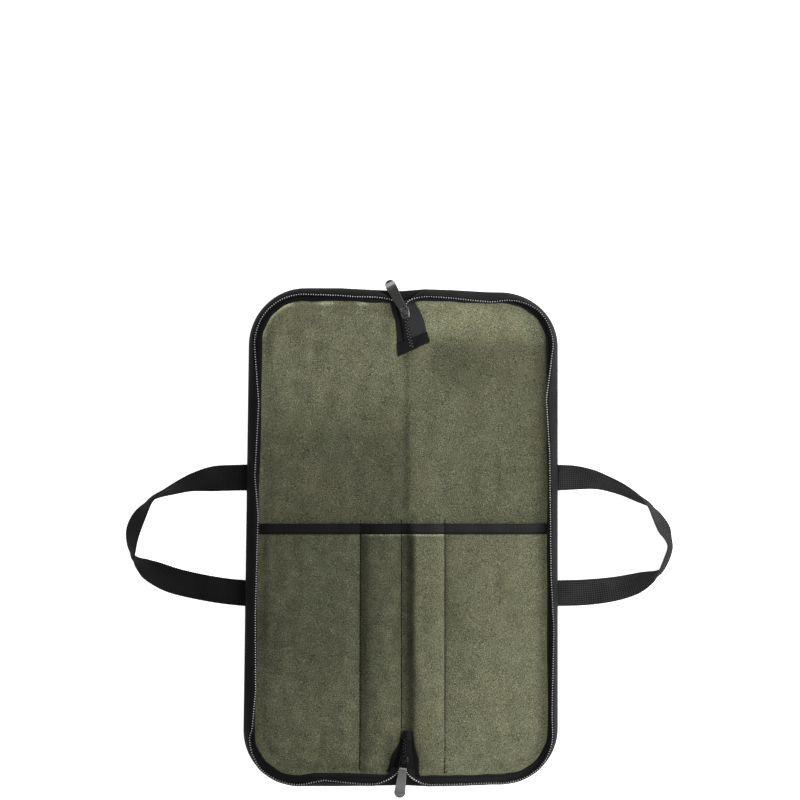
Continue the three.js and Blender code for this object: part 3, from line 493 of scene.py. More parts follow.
    def lining_bottom(self, x: Array, y: Array) -> Array:
        """Underside of the lining: a soft pillow each side of the spine's valley."""
        from_rim = 1 - fade(self.edge_distance(x, y), self.rim, self.pillow_fade)
        from_spine = 1 - fade(np.abs(x - self.valley_x), 1.5, self.valley)
        relief = np.maximum(self.pillow_height * np.minimum(from_rim, 0.12 + 0.88 * from_spine)
                            + self.crumple(x, y) + self.puff(x, y), 0)
        return self.shell_top(x, y) + self.gap + relief

    def lining_top(self, x: Array, y: Array) -> Array:
        """Upper face of the lining."""
        return self.lining_bottom(x, y) + self.canvas

    def back_lift(self, y: Array) -> Array:
        """Room for the mouth band's back leg under the pocket canvas."""
        return self.back_lift_height * fade(self.band_end_y - y, 0, self.step_fade)

    def arch(self, x: Array, y: Array) -> Array:
        """How high the pockets arch between their stitch lines."""
        x = np.asarray(x, float)
        gape = np.interp((self.mouth_y - y) / self.pocket_depth, self.gape_depths, self.gape_shares)
        from_rim = 1 - fade(self.edge_distance(x, y), self.rim, self.sag_fade)
        rise = np.zeros_like(x + y)
        for pocket in self.pockets:
            start = pocket.left + pocket.down_left
            span = pocket.right - pocket.down_right - start
            share = np.clip((x - start) / span, 0, 1)
            rise = np.maximum(rise, np.sin(math.pi * share) ** pocket.power)
        return self.gape * gape * from_rim * rise

    def panel_bottom(self, x: Array, y: Array) -> Array:
        """Underside of the pocket canvas."""
        return self.lining_top(x, y) + self.gap + self.back_lift(y) + self.arch(x, y)

    def panel_top(self, x: Array, y: Array) -> Array:
        """Upper face of the pocket canvas."""
        return self.panel_bottom(x, y) + self.canvas

    def sheet_top(self, x: Array, y: Array) -> Array:
        """Top of the layer that lies uppermost."""
        return np.where(y > self.mouth_y, self.lining_top(x, y), self.panel_top(x, y))

    def rim_top(self, x: Array, y: Array) -> Array:
        """Top of the stack of layers at the rim, under the binding's upper leg."""
        share = fade(y, self.mouth_y + 1, self.step_fade)
        return self.lining_top(x, y) + share * (self.gap + self.back_lift(y) + self.canvas)

    def outline(self, side: Side, place: Array) -> tuple[Array, ...]:
        """Points of one half of the outline, with the direction inwards.

        Args:
            side: the half.
            place: 0 at the spine's top end, 1 to 2 round the top corner, 3 to 4 round the bottom corner and
                5 at the spine's bottom end.

        Returns:
            x, y, inward x and inward y.
        """
        s = side.value
        place = np.asarray(place, float)
        turn = np.where(place < 2.5, np.clip(place - 1, 0, 1), np.clip(4 - place, 0, 1)) * math.pi / 2
        end = np.where(place < 2.5, 1.0, -1.0)
        from_end = np.clip(np.where(place < 2.5, place, 5 - place), 0, 1)
        x = s * (from_end * self.straight_x + np.sin(turn) * self.corner)
        y = end * (self.straight_y + np.cos(turn) * self.corner)
        on_side = (place >= 2) & (place <= 3)
        y = np.where(on_side, self.straight_y * (5 - 2 * place), y)
        return x, y, -s * np.sin(turn), -end * np.cos(turn) * np.where(on_side, 0, 1)


FORM = RollForm()


@dataclass(frozen=True)
class Ramp:
    """A soft rise from 0 to 1, from a start on and over a length; a negative length turns it round."""

    start: float
    length: float

    def over(self, value: Array) -> Array:
        """Its height at each place."""
        return smooth_step((value - self.start) / self.length)


@dataclass(frozen=True)
class Spot:
    """A soft patch of cloth that is lighter than the rest, or darker where its change is negative."""

    change: float
    x: float
    y: float
    wide: float
    long: float = math.inf

    def over(self, x: Array, y: Array) -> Array:
        """How much it changes the cloth at each place."""
        return self.change * hill(x, y, (self.x, self.y), (self.wide, self.long))


@dataclass(frozen=True)
class Line:
    """A soft line on the cloth: where it runs, how broad it is and how strongly it shows."""

    middle: float
    spread: float
    change: float

    def over(self, place: Array) -> Array:
        """How much it changes the cloth at each place across it."""
        return self.change * crest(place, self.middle, self.spread)


@dataclass(frozen=True)
class Zone:
    """A quarter of the inner cloth: how light it is painted, a slow change along it, and its patches of
    painted light.
    """

    level: float
    change: float
    along: Ramp
    spots: tuple[Spot, ...]

    def light(self, x: Array, y: Array) -> Array:
        """How light the cloth is at each place."""
        total = self.level + self.change * self.along.over(y)
        for spot in self.spots:
            total = total + spot.over(x, y)
        return total


@dataclass(frozen=True)
class PaintedLightAndWax:
    """Painted light on the inner cloth: a darker left half, highlights on raised places, shade in folds and
    seams.

    A method of x and y takes places across and along the plain body and returns a share at each.
    """

    pockets: Ramp = Ramp(13, -2)
    # Painted light: these ramps part the halves at the spine, and the zones paint the left half darker than
    # the right one.
    half_upper: Ramp = Ramp(4, 9)
    half_lower: Ramp = Ramp(11.4, 1.6)
    left_upper: Zone = Zone(0.48, 0.31, Ramp(80, 80), (Spot(0.06, -35, 185, 40, 40),))
    right_upper: Zone = Zone(0.72, 0.52, Ramp(180, 26), (
        Spot(-0.2, 50, 170, 45, 20), Spot(0.24, 15, 165, 11, 30), Spot(-0.06, 125, 90, 14, 60)))
    left_lower: Zone = Zone(0.4, 0.13, Ramp(-90, -80), (
        Spot(0.05, -75, -40, 50, 60), Spot(0.14, -135, -30, 10, 40)))
    right_lower: Zone = Zone(0.85, 0.08, Ramp(-60, -90), (
        Spot(-0.1, 52, -90, 14, 120), Spot(-0.12, 27, 0, 13)))
    # Painted highlights where light catches the puffs, the rim, streaks, the corner, the turned edge and the
    # lip under the mouth band; the mouth's fold gets a painted highlight beside painted shade.
    puff_light: float = 0.16
    puff_size: float = 0.8
    rim: Line = Line(14.5, 2.2, 0.2)
    streaks: tuple[Spot, ...] = (Spot(2.4, -75, 225.5, 8, 1.8), Spot(2.4, -38, 225.5, 5, 1.8))
    corner: Line = Line(13.6, 1.7, 1.8)
    corner_from: Pair = (-104, 192)
    turned_edge: Line = Line(10.6, 1.7, 0.9)
    turned_from: float = 100
    turned_along: Ramp = Ramp(70, -60)
    mouth_fold: tuple[Spot, ...] = (Spot(0.5, 2, 22, 4, 5), Spot(-0.5, 10.5, 20, 2.4, 5))
    lip: Line = Line(3.0, 0.8, 2.4)
    lip_across: tuple[Ramp, ...] = (Ramp(-42, 6), Ramp(44, -6))
    # Painted shade in the spine's valley, the troughs and folds beside the seams, the seams' grooves, along
    # the spine and in the hollows beside the tail; the pale folds are painted highlights.
    valley: float = 0.24
    valley_across: tuple[Ramp, ...] = (Ramp(-0.5, 2.5), Ramp(12.2, -0.8))
    trough: Line = Line(9.6, 2.4, 0.1)
    trough_end: Line = Line(13, 4, 0.24)
    trough_end_along: Ramp = Ramp(-75, -60)
    seam_fold: Line = Line(-36.5, 4.2, 0.32)
    seam_fold_across: Ramp = Ramp(-40.4, 0.8)
    pale_folds: tuple[Line, ...] = (Line(-12, 8, -0.16), Line(-50, 7, -0.1))
    right_fold: Line = Line(15.5, 2.6, -0.1)
    right_fold_along: Ramp = Ramp(-110, 60)
    seam_spread: float = 0.5
    seam: float = 0.7
    spine: Line = Line(4.4, 2.6, 0.3)
    hollow_left: Spot = Spot(0.7, -9, -216, 7, 24)
    hollow_right: Spot = Spot(0.35, 17, -214, 5, 18)
    hollow_border: float = 4
    darkest: float = 0.1
    mottle_seed: int = 5
    mottle_waves: int = 24
    mottle_lengths: Pair = (9, 26)
    mottle_all: float = 0.02
    mottle_left: float = 0.02
    mottle_left_lower: float = 0.03

    def mottle(self, x: Array, y: Array) -> Array:
        """Patches of one or two fingers' width where the wax has gathered, with a spread of 1 round 0."""
        chance = np.random.default_rng(self.mottle_seed)
        total = 0 * x + 0 * y
        for _ in range(self.mottle_waves):
            length = chance.uniform(*self.mottle_lengths)
            turn = chance.uniform(0, math.pi)
            phase = chance.uniform(0, 2 * math.pi)
            total = total + np.sin(2 * math.pi * (x * math.cos(turn) + y * math.sin(turn)) / length + phase)
        return total / math.sqrt(self.mottle_waves / 2)

    def ground(self, x: Array, y: Array) -> Array:
        """How light the four zones are as painted light, the left ones darker, with their soft borders and
        the wax's patches.
        """
        lower = self.pockets.over(y)
        upper = 1 - lower
        right = self.half_upper.over(x) * upper + self.half_lower.over(x) * lower
        dark = self.left_upper.light(x, y) * upper + self.left_lower.light(x, y) * lower
        bright = self.right_upper.light(x, y) * upper + self.right_lower.light(x, y) * lower
        strength = self.mottle_all + (self.mottle_left + self.mottle_left_lower * lower) * (1 - right)
        return (dark * (1 - right) + bright * right) * (1 + strength * self.mottle(x, y))

    def painted_highlights(self, x: Array, y: Array) -> Array:
        """Painted highlights: how much lighter the raised places and edges are, where light catches them:
        puffs, rim, streaks, edges and the mouth.
        """
        from_edge = FORM.edge_distance(x, y)
        size = self.puff_size
        puffs = sum(max(p.height, 0) * hill(x, y, (p.x, p.y), (size * p.wide, size * p.long))
                    for p in FORM.puffs)
        corner = self.corner.over(from_edge) * (x < self.corner_from[0]) * (y > self.corner_from[1])
        turned = self.turned_edge.over(from_edge) * (x > self.turned_from) * self.turned_along.over(y)
        streaks = sum(streak.over(x, y) for streak in self.streaks)
        fold = (1 - self.pockets.over(y)) * sum(spot.over(x, y) for spot in self.mouth_fold)
        lip = self.lip.over(y) * self.lip_across[0].over(x) * self.lip_across[1].over(x)
        return 1 + self.puff_light * puffs + self.rim.over(from_edge) + streaks + corner + turned + fold + lip

    def shade(self, x: Array, y: Array) -> Array:
        """Painted shade: how much darker the folds beside the seams, the seams, the spine and the hollows
        are; the pale folds are painted highlights.
        """
        lower = self.pockets.over(y)
        folds = self.valley * self.valley_across[0].over(x) * self.valley_across[1].over(x)
        folds = folds + self.trough.over(x) + self.trough_end.over(x) * self.trough_end_along.over(y)
        folds = folds + self.seam_fold.over(x) * self.seam_fold_across.over(x)
        folds = folds + sum(fold.over(x) for fold in self.pale_folds)
        folds = folds + self.right_fold.over(x) * self.right_fold_along.over(y)
        seams = sum(crest(x, pocket.left, self.seam_spread) for pocket in FORM.pockets[1:])
        hollow = self.hollow_left.over(x, y) * (x < self.hollow_border)
        hollow = hollow + self.hollow_right.over(x, y) * (x > self.hollow_border)
        return lower * (folds + self.seam * seams) + (1 - lower) * self.spine.over(x) + hollow

    def tone(self, x: Array, y: Array) -> Array:
        """How light the cloth is at each place: the painted light and the wax's patches, times the painted
        highlights and shade.
        """
        return self.ground(x, y) * self.painted_highlights(x, y) * np.maximum(1 - self.shade(x, y), self.darkest)


@dataclass(frozen=True)
class TrimTone:
    """How light a black trim is, as painted light: dark on its left part, lighter over to the right one,
    which the light reaches.
    """

    dark: float
    gain: float
    across: Ramp

    def tone(self, x: Array, y: Array) -> Array:
        """How light the trim is at each place."""
        return self.dark + self.gain * self.across.over(x) + 0 * y


INSIDE = PaintedLightAndWax()
# Painted light on the binding, the mouth band and the zip tapes: darker on the left, lighter to the right.
EDGE_TRIM = TrimTone(0.3, 0.72, Ramp(-150, 300))
MOUTH_TRIM = TrimTone(0.33, 0.62, Ramp(5, 6))


def signed_volume(points: Array, faces: list[list[int]]) -> float:
    """Six times the signed volume between the origin and some faces.

    Args:
        points: the points that the faces use.
        faces: the faces, as rows of point numbers.

    Returns:
        The volume, positive where the faces look outward.
    """
    total = 0.0
    for face in faces:
        a = points[face[0]]
        for b, c in zip(face[1:-1], face[2:]):
            total += float(np.dot(a, np.cross(points[b], points[c])))
    return total


def finish_mesh(name: str, points: Array, faces: Array, caps: list[list[int]] | None = None,
                corner_uv: Array | None = None,
                tone: Field | Array | None = None) -> Piece:
    """Makes a closed mesh object with outward faces from millimetre points.

    Args:
        name: the piece's name.
        points: its points, one row each.
        faces: its quads, one row each.
        caps: more faces of any size.
        corner_uv: a pair in metres for each corner of the quads.
        tone: how light the finish is, as a field of x and y or point by point.

    Returns:
        The object, smooth shaded.
    """
    points = np.asarray(points, float).reshape(-1, 3)
    a, b, c, d = (points[faces[:, k]] for k in range(4))
    first_half = np.sum(np.einsum("ij,ij->i", a, np.cross(b, c)))
    second_half = np.sum(np.einsum("ij,ij->i", a, np.cross(c, d)))
    volume = float(first_half + second_half) + signed_volume(points, caps or [])
    rows = faces.tolist() + (caps or [])
    if volume < 0:
        rows = [row[::-1] for row in rows]
    mesh = bpy.data.meshes.new(name)
    mesh.from_pydata((points * MM).tolist(), [], rows)
    if corner_uv is not None:
        pairs = corner_uv.reshape(-1, 4, 2)
        pairs = pairs[:, ::-1] if volume < 0 else pairs
        spare = sum(len(cap) for cap in caps or [])
        flat = np.concatenate([pairs.reshape(-1), np.zeros(2 * spare)])
        mesh.uv_layers.new(name="UVMap").data.foreach_set("uv", flat)
    shares = tone(points[:, 0], points[:, 1]) if callable(tone) else 1.0 if tone is None else tone
    layer = mesh.attributes.new(TONE, "FLOAT", "POINT")
    layer.data.foreach_set("value", np.broadcast_to(shares, (len(points),)).astype(np.float32))
    mesh.shade_smooth()
    mesh.update()
    piece = bpy.data.objects.new(name, mesh)
    bpy.context.scene.collection.objects.link(piece)
    return piece


def sweep(name: str, sections: Array, ring: bool = False, tone: Field | Array | None = None) -> Piece:
    """Joins sections of equal point counts into one closed piece.

    Args:
        name: the piece's name.
        sections: section, point and coordinate, in millimetres.
        ring: whether the run closes on itself.
        tone: how light the finish is, as a field of x and y or point by point.

    Returns:
        The object, with UV across the section and along the run.
    """
    count, size = sections.shape[:2]
    spans = count if ring else count - 1
    s, k = np.meshgrid(np.arange(spans), np.arange(size), indexing="ij")
    after, beside = (s + 1) % count, (k + 1) % size
    faces = np.stack([s * size + k, s * size + beside, after * size + beside, after * size + k], -1)
    closed = np.concatenate([sections, sections[:, :1]], 1)
    around = np.concatenate([[0], np.cumsum(np.linalg.norm(np.diff(closed, axis=1), axis=2).mean(0))]) * MM
    centres = sections.mean(1)
    steps = np.linalg.norm(np.roll(centres, -1, 0) - centres, axis=1)
    along = np.concatenate([[0], np.cumsum(steps)]) * MM
    u = np.stack([around[k], around[k + 1], around[k + 1], around[k]], -1)
    v = np.stack([along[s], along[s], along[s + 1], along[s + 1]], -1)
    caps = []
    if not ring:
        last = (count - 1) * size
        caps = [list(range(size))[::-1], [last + at for at in range(size)]]
    corner_uv = np.stack([u, v], -1).reshape(-1, 4, 2)
    return finish_mesh(name, sections, faces.reshape(-1, 4), caps, corner_uv, tone)


def slab(name: str, x_lines: Array, y_lines: Array, bottom: Field, top: Field,
         tone: Field) -> Piece:
    """Makes a cloth sheet between two height fields, on a grid that follows the rounded outline.

    Args:
        name: the piece's name.
        x_lines: grid lines across, at the sheet's full width.
        y_lines: grid lines along.
        bottom: height of its underside.
        top: height of its upper face.
        tone: how light the cloth is at each x and y.

    Returns:
        The object.
    """
    radius = FORM.corner - FORM.sheet_inset
    over = np.maximum(0, np.abs(y_lines) - FORM.straight_y)
    half = FORM.straight_x + np.sqrt(np.maximum(0, radius ** 2 - over ** 2))
    y = np.repeat(y_lines[:, None], len(x_lines), 1)
    x = x_lines[None, :] * (half / (FORM.width / 2 - FORM.sheet_inset))[:, None]
    layers = [FORM.settle(x, y, height(x, y)).reshape(-1, 3) for height in (bottom, top)]
    rows, columns = y.shape
    layer = rows * columns
    j, i = np.meshgrid(np.arange(rows - 1), np.arange(columns - 1), indexing="ij")
    a = (j * columns + i).reshape(-1)
    upper = np.stack([a, a + 1, a + 1 + columns, a + columns], -1) + layer
    lower = np.stack([a, a + columns, a + 1 + columns, a + 1], -1)
    rim = np.concatenate([
        np.arange(columns),
        np.arange(1, rows) * columns + columns - 1,
        (rows - 1) * columns + np.arange(columns - 2, -1, -1),
        np.arange(rows - 2, 0, -1) * columns,
    ])
    after = np.roll(rim, -1)
    wall = np.stack([rim, after, after + layer, rim + layer], -1)
    faces = np.concatenate([lower, upper, wall])
    return finish_mesh(name, np.concatenate(layers), faces, tone=tone)


def beads(name: str, middle: Array, length_way: Array, side_way: Array, up_way: Array,
          profile: Array, sides: int, tone: float | Array = 1.0) -> Piece:
    """Copies one small rounded bar to many places, as one piece: coil teeth or stitches.

    Args:
        name: the piece's name.
        middle: the bars' middles.
        length_way: unit directions along the bars.
        side_way: unit directions across them.
        up_way: unit directions out of the surface.
        profile: rows of distance along, radius to the side, radius up, shift to the side, shift up and tone.
        sides: corners round a bar, 4 or 6.
        tone: how light the finish is, for all or bar by bar.

    Returns:
        The object.
    """
    turns = np.linspace(0, 2 * math.pi, sides + 1)[:-1] + math.pi / sides
    rings = [middle + length_way * reach + side_way * (wide * math.cos(turn) + shift)
             + up_way * (high * math.sin(turn) + lift)
             for reach, wide, high, shift, lift, _ in profile for turn in turns]
    points = np.stack(rings, 1)
    rows = len(profile)
    faces = []
    for row in range(rows - 1):
        for k in range(sides):
            here, beside = row * sides + k, row * sides + (k + 1) % sides
            faces.append([here, beside, beside + sides, here + sides])
    ends = [[0, 1, 2, 3]] if sides == 4 else [[0, 1, 2, 3], [0, 3, 4, 5]]
    last = (rows - 1) * sides
    faces += [end[::-1] for end in ends] + [[last + k for k in end] for end in ends]
    shift = (np.arange(len(points)) * points.shape[1])[:, None, None]
    shares = np.broadcast_to(tone, (len(points),))[:, None] * np.repeat(profile[:, 5], sides)[None]
    return finish_mesh(name, points, (np.array(faces)[None] + shift).reshape(-1, 4),
                       tone=shares.reshape(-1))


def grid_lines(low: float, high: float, step: float, exact: Floats = ()) -> Array:
    """Even grid lines between two limits, with some exact ones in place of their neighbours.

    Args:
        low: the first line.
        high: the last line.
        step: their spacing, nearly.
        exact: places that a line has to lie on.

    Returns:
        The lines in order.
    """
    lines = np.linspace(low, high, int(round((high - low) / step)) + 1)
    for line in exact:
        if low < line < high:
            lines[1 + np.argmin(np.abs(lines[1:-1] - line))] = line
    return np.sort(lines)


def fold_section(place: Callable[[Array, Array], Array], leg: float, thickness: float,
                 lower: Field, upper: Field, turns: int = 7) -> Array:
    """The section of a tape folded over an edge: two legs joined by a round fold.

    Args:
        place: gives points at distances inward and heights.
        leg: how far the legs reach in.
        thickness: the tape's thickness.
        lower: height of the lower leg's upper face, by distance inward.
        upper: height of the upper leg's lower face, by distance inward.
        turns: points round the fold.

    Returns:
        The section's points in order.
    """
    legs = np.array([1.0, 0.94, 0.75, 0.5, 0.28]) * leg
    turn = np.linspace(-math.pi / 2, math.pi / 2, turns)
    low, high = lower(np.array([thickness])), upper(np.array([thickness]))
    middle, rise = (low + high) / 2, (high - low) / 2
    bend = 1.5 * thickness
    outer_in, outer_z = bend - bend * np.cos(turn), middle + (rise + thickness) * np.sin(turn)
    inner_in = bend - (bend - thickness) * np.cos(turn[::-1])
    inner_z = middle + rise * np.sin(turn[::-1])
    crown = np.array([0.55, 1, 1, 1, 1]) * thickness
    return np.concatenate([
        place(legs, lower(legs) - crown),
        place(outer_in, outer_z),
        place(legs[::-1], upper(legs[::-1]) + crown[::-1]),
        place(legs, upper(legs)),
        place(inner_in, inner_z),
        place(legs[::-1], lower(legs[::-1])),
    ])


@dataclass
class Canvases:
    """The three sheets of waxed canvas: outer, lining and pocket."""

    outer_step: float = 4.0
    inner_step: float = 2.5
    pocket_step: float = 2.0
    seam_half: float = 0.85
    lip_lines: Floats = (3.3, 2.9, 1.9)

    def limits(self) -> Pair:
        """Half the sheets' width and half their length."""
        return FORM.width / 2 - FORM.sheet_inset, FORM.length / 2 - FORM.sheet_inset

    def build(self) -> dict[str, Piece]:
        """Makes the three sheets."""
        half_x, half_y = self.limits()
        stitches = tuple(pocket.left for pocket in FORM.pockets[1:])
        outer = slab("outer_canvas", grid_lines(-half_x, half_x, self.outer_step),
                     grid_lines(-half_y, half_y, self.outer_step), FORM.shell_bottom, FORM.shell_top,
                     lambda x, y: 1.0 + 0 * x)
        # The lining and the pocket canvas carry the painted light, highlights and shade of INSIDE.
        inner = slab("inner_canvas", grid_lines(-half_x, half_x, self.inner_step),
                     grid_lines(-half_y, half_y, self.inner_step), FORM.lining_bottom, FORM.lining_top,
                     INSIDE.tone)
        beside = [line + aside for line in stitches for aside in (-self.seam_half, self.seam_half)]
        across = np.sort(np.concatenate([grid_lines(-half_x, half_x, self.pocket_step, stitches), beside]))
        down = np.sort(np.concatenate([grid_lines(-half_y, FORM.mouth_y, self.pocket_step), self.lip_lines]))
        pocket = slab("pocket_canvas", across, down, FORM.panel_bottom, FORM.panel_top, INSIDE.tone)
        return {"outer": outer, "inner": inner, "pocket": pocket}

    def dress(self, sheets: dict[str, Piece], finishes: Finishes,
              bands: dict[str, Piece]) -> None:
        """Gives the sheets their cloth and says what they are.

        Args:
            sheets: the three sheets.
            finishes: the materials by name.
            bands: the bindings that are sewn to them; not used.
        """
        settle_piece(sheets["outer"], finishes["outer"], "roll", ["outer_shell"])
        settle_piece(sheets["inner"], finishes["inner"], "roll", ["lining"])
        settle_piece(sheets["pocket"], finishes["inner"], "roll", ["pocket_panel"])


def settle_piece(piece: Piece, finish: bpy.types.Material, body: str,
                 nodes: list[str] | None = None) -> None:
    """Gives a piece its finish, the body it rides on and the CAD nodes it stands for.

    Args:
        piece: the object.
        finish: its material.
        body: the body that it moves with.
        nodes: the CAD nodes that it takes the place of.
    """
    piece.data.materials.clear()
    piece.data.materials.append(finish)
    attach(piece, body)
    if nodes:
        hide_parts(*nodes)
    log.info("%s: %d faces", piece.name, len(piece.data.polygons))


@dataclass
class Bindings:
    """The black tapes folded over the body's edge and over the pocket mouth."""

    leg: float = 10.5
    more_places: Floats = (0, 0.6, 1.0, 1.5, 2.0, 2.4, 3.0, 3.5, 3.9, 4.1, 4.3, 4.55, 4.7, 5.0)
    more_left: Floats = (2.0, 2.0, 2.2, 1.2, 3.0, 1.6, 0.5, -0.6, 0.0, 1.8, 2.8, 2.4, 0.8, 0.0)
    more_right: Floats = (1.2, 1.4, 1.2, 0.0, 0.6, 0.0, -0.4, -1.4, 0.0, 0.0, 0.0, 0.0, 0.0, 0.0)
    band: float = 10.3
    band_thickness: float = 0.8
    stations: int = 150
    step: float = 2.0
    wander: float = 0.25

    def edge(self) -> Piece:
        """Makes the binding round the whole body, down the left half and back up the right one."""
        places = np.linspace(0, 5, self.stations)
        sections = [self.edge_section(Side.LEFT, place) for place in places]
        sections += [self.edge_section(Side.RIGHT, place) for place in places[-2:0:-1]]
        return sweep("edge_band", np.array(sections), ring=True, tone=EDGE_TRIM.tone)

    def edge_section(self, side: Side, place: float) -> Array:
        """The folded tape's section at one place of the outline.

        Args:
            side: the half.
            place: the place, as for RollForm.outline.

        Returns:
            The section's points in order.
        """
        x, y, in_x, in_y = (float(v) for v in FORM.outline(side, place))
        wave = self.wander * math.sin(9.7 * place + side.value) + self.wander * math.sin(23.1 * place)
        more = self.more_left if side is Side.LEFT else self.more_right
        wave += float(np.interp(place, self.more_places, more))
        return fold_section(
            lambda inward, z: FORM.settle(x + in_x * inward, y + in_y * inward, z),
            self.leg + wave, FORM.binding,
            lambda inward: FORM.binding + FORM.strap_lift(x + in_x * inward, y + 0 * inward),
            lambda inward: FORM.rim_top(x, y) + FORM.gap + 0 * inward,
        )

    @property
    def fold_y(self) -> float:
        """Where the mouth band's fold lies, along the body."""
        return FORM.mouth_y + self.band_thickness + FORM.gap

    def panel_under(self, x: float, inward: Array) -> Array:
        """Underside of the pocket canvas at distances inward from the mouth band's fold."""
        return FORM.panel_bottom(x, np.minimum(self.fold_y - inward, FORM.mouth_y))

    def mouth(self) -> Piece:
        """Makes the band folded over the pocket mouth, following its arches."""
        first, last = FORM.pockets[0].left, FORM.pockets[-1].right
        stations = grid_lines(first, last, self.step, tuple(p.left for p in FORM.pockets[1:]))
        sections = [fold_section(
            lambda inward, z, x=x: FORM.settle(x, self.fold_y - inward, z),
            self.band, self.band_thickness,
            lambda inward, x=x: self.panel_under(x, inward) - FORM.gap,
            lambda inward, x=x: self.panel_under(x, inward) + FORM.canvas + FORM.gap,
        ) for x in stations]
        return sweep("pocket_band", np.array(sections), tone=MOUTH_TRIM.tone)

    def dress(self, bands: dict[str, Piece], finishes: Finishes) -> None:
        """Gives the bindings their tape."""
        settle_piece(bands["edge"], finishes["binding"], "roll", ["edge_binding"])
        settle_piece(bands["pocket"], finishes["binding"], "roll", ["pocket_binding"])


@dataclass(frozen=True)
class ZipEnd:
    """The place and lie of one slider and the closed zip behind it."""

    end: End
    inset: float
    slider_x: float
    heading: float
    pull_turn: float
    pull_root: float
    tail: float

    def axes(self) -> tuple[Array, Array, Array]:
        """Forward out of the slider's mouth, aside to its right, and the slider's middle."""
        turn = math.radians(self.heading)
        forward = np.array([-math.sin(turn), math.cos(turn), 0]) * self.end.value
        aside = np.array([math.cos(turn), math.sin(turn), 0])
        middle = np.array([self.slider_x, self.end.value * (FORM.length / 2 - self.inset), 0])
        return forward, aside, middle


TOP_END = ZipEnd(End.TOP, 22, 2.9, 13, 15, 7.6, 37.4)
BOTTOM_END = ZipEnd(End.BOTTOM, 23.8, 1.8, -7.6, 0, 6.9, 30.1)


def bezier(points: list[Array], share: Array) -> Array:
    """Points of a cubic curve.

    Args:
        points: its four control points.
        share: places along it, from 0 to 1.

    Returns:
        The points, one row each.
    """
    t = share[:, None]
    a, b, c, d = points
    return (1 - t) ** 3 * a + 3 * (1 - t) ** 2 * t * b + 3 * (1 - t) * t ** 2 * c + t ** 3 * d


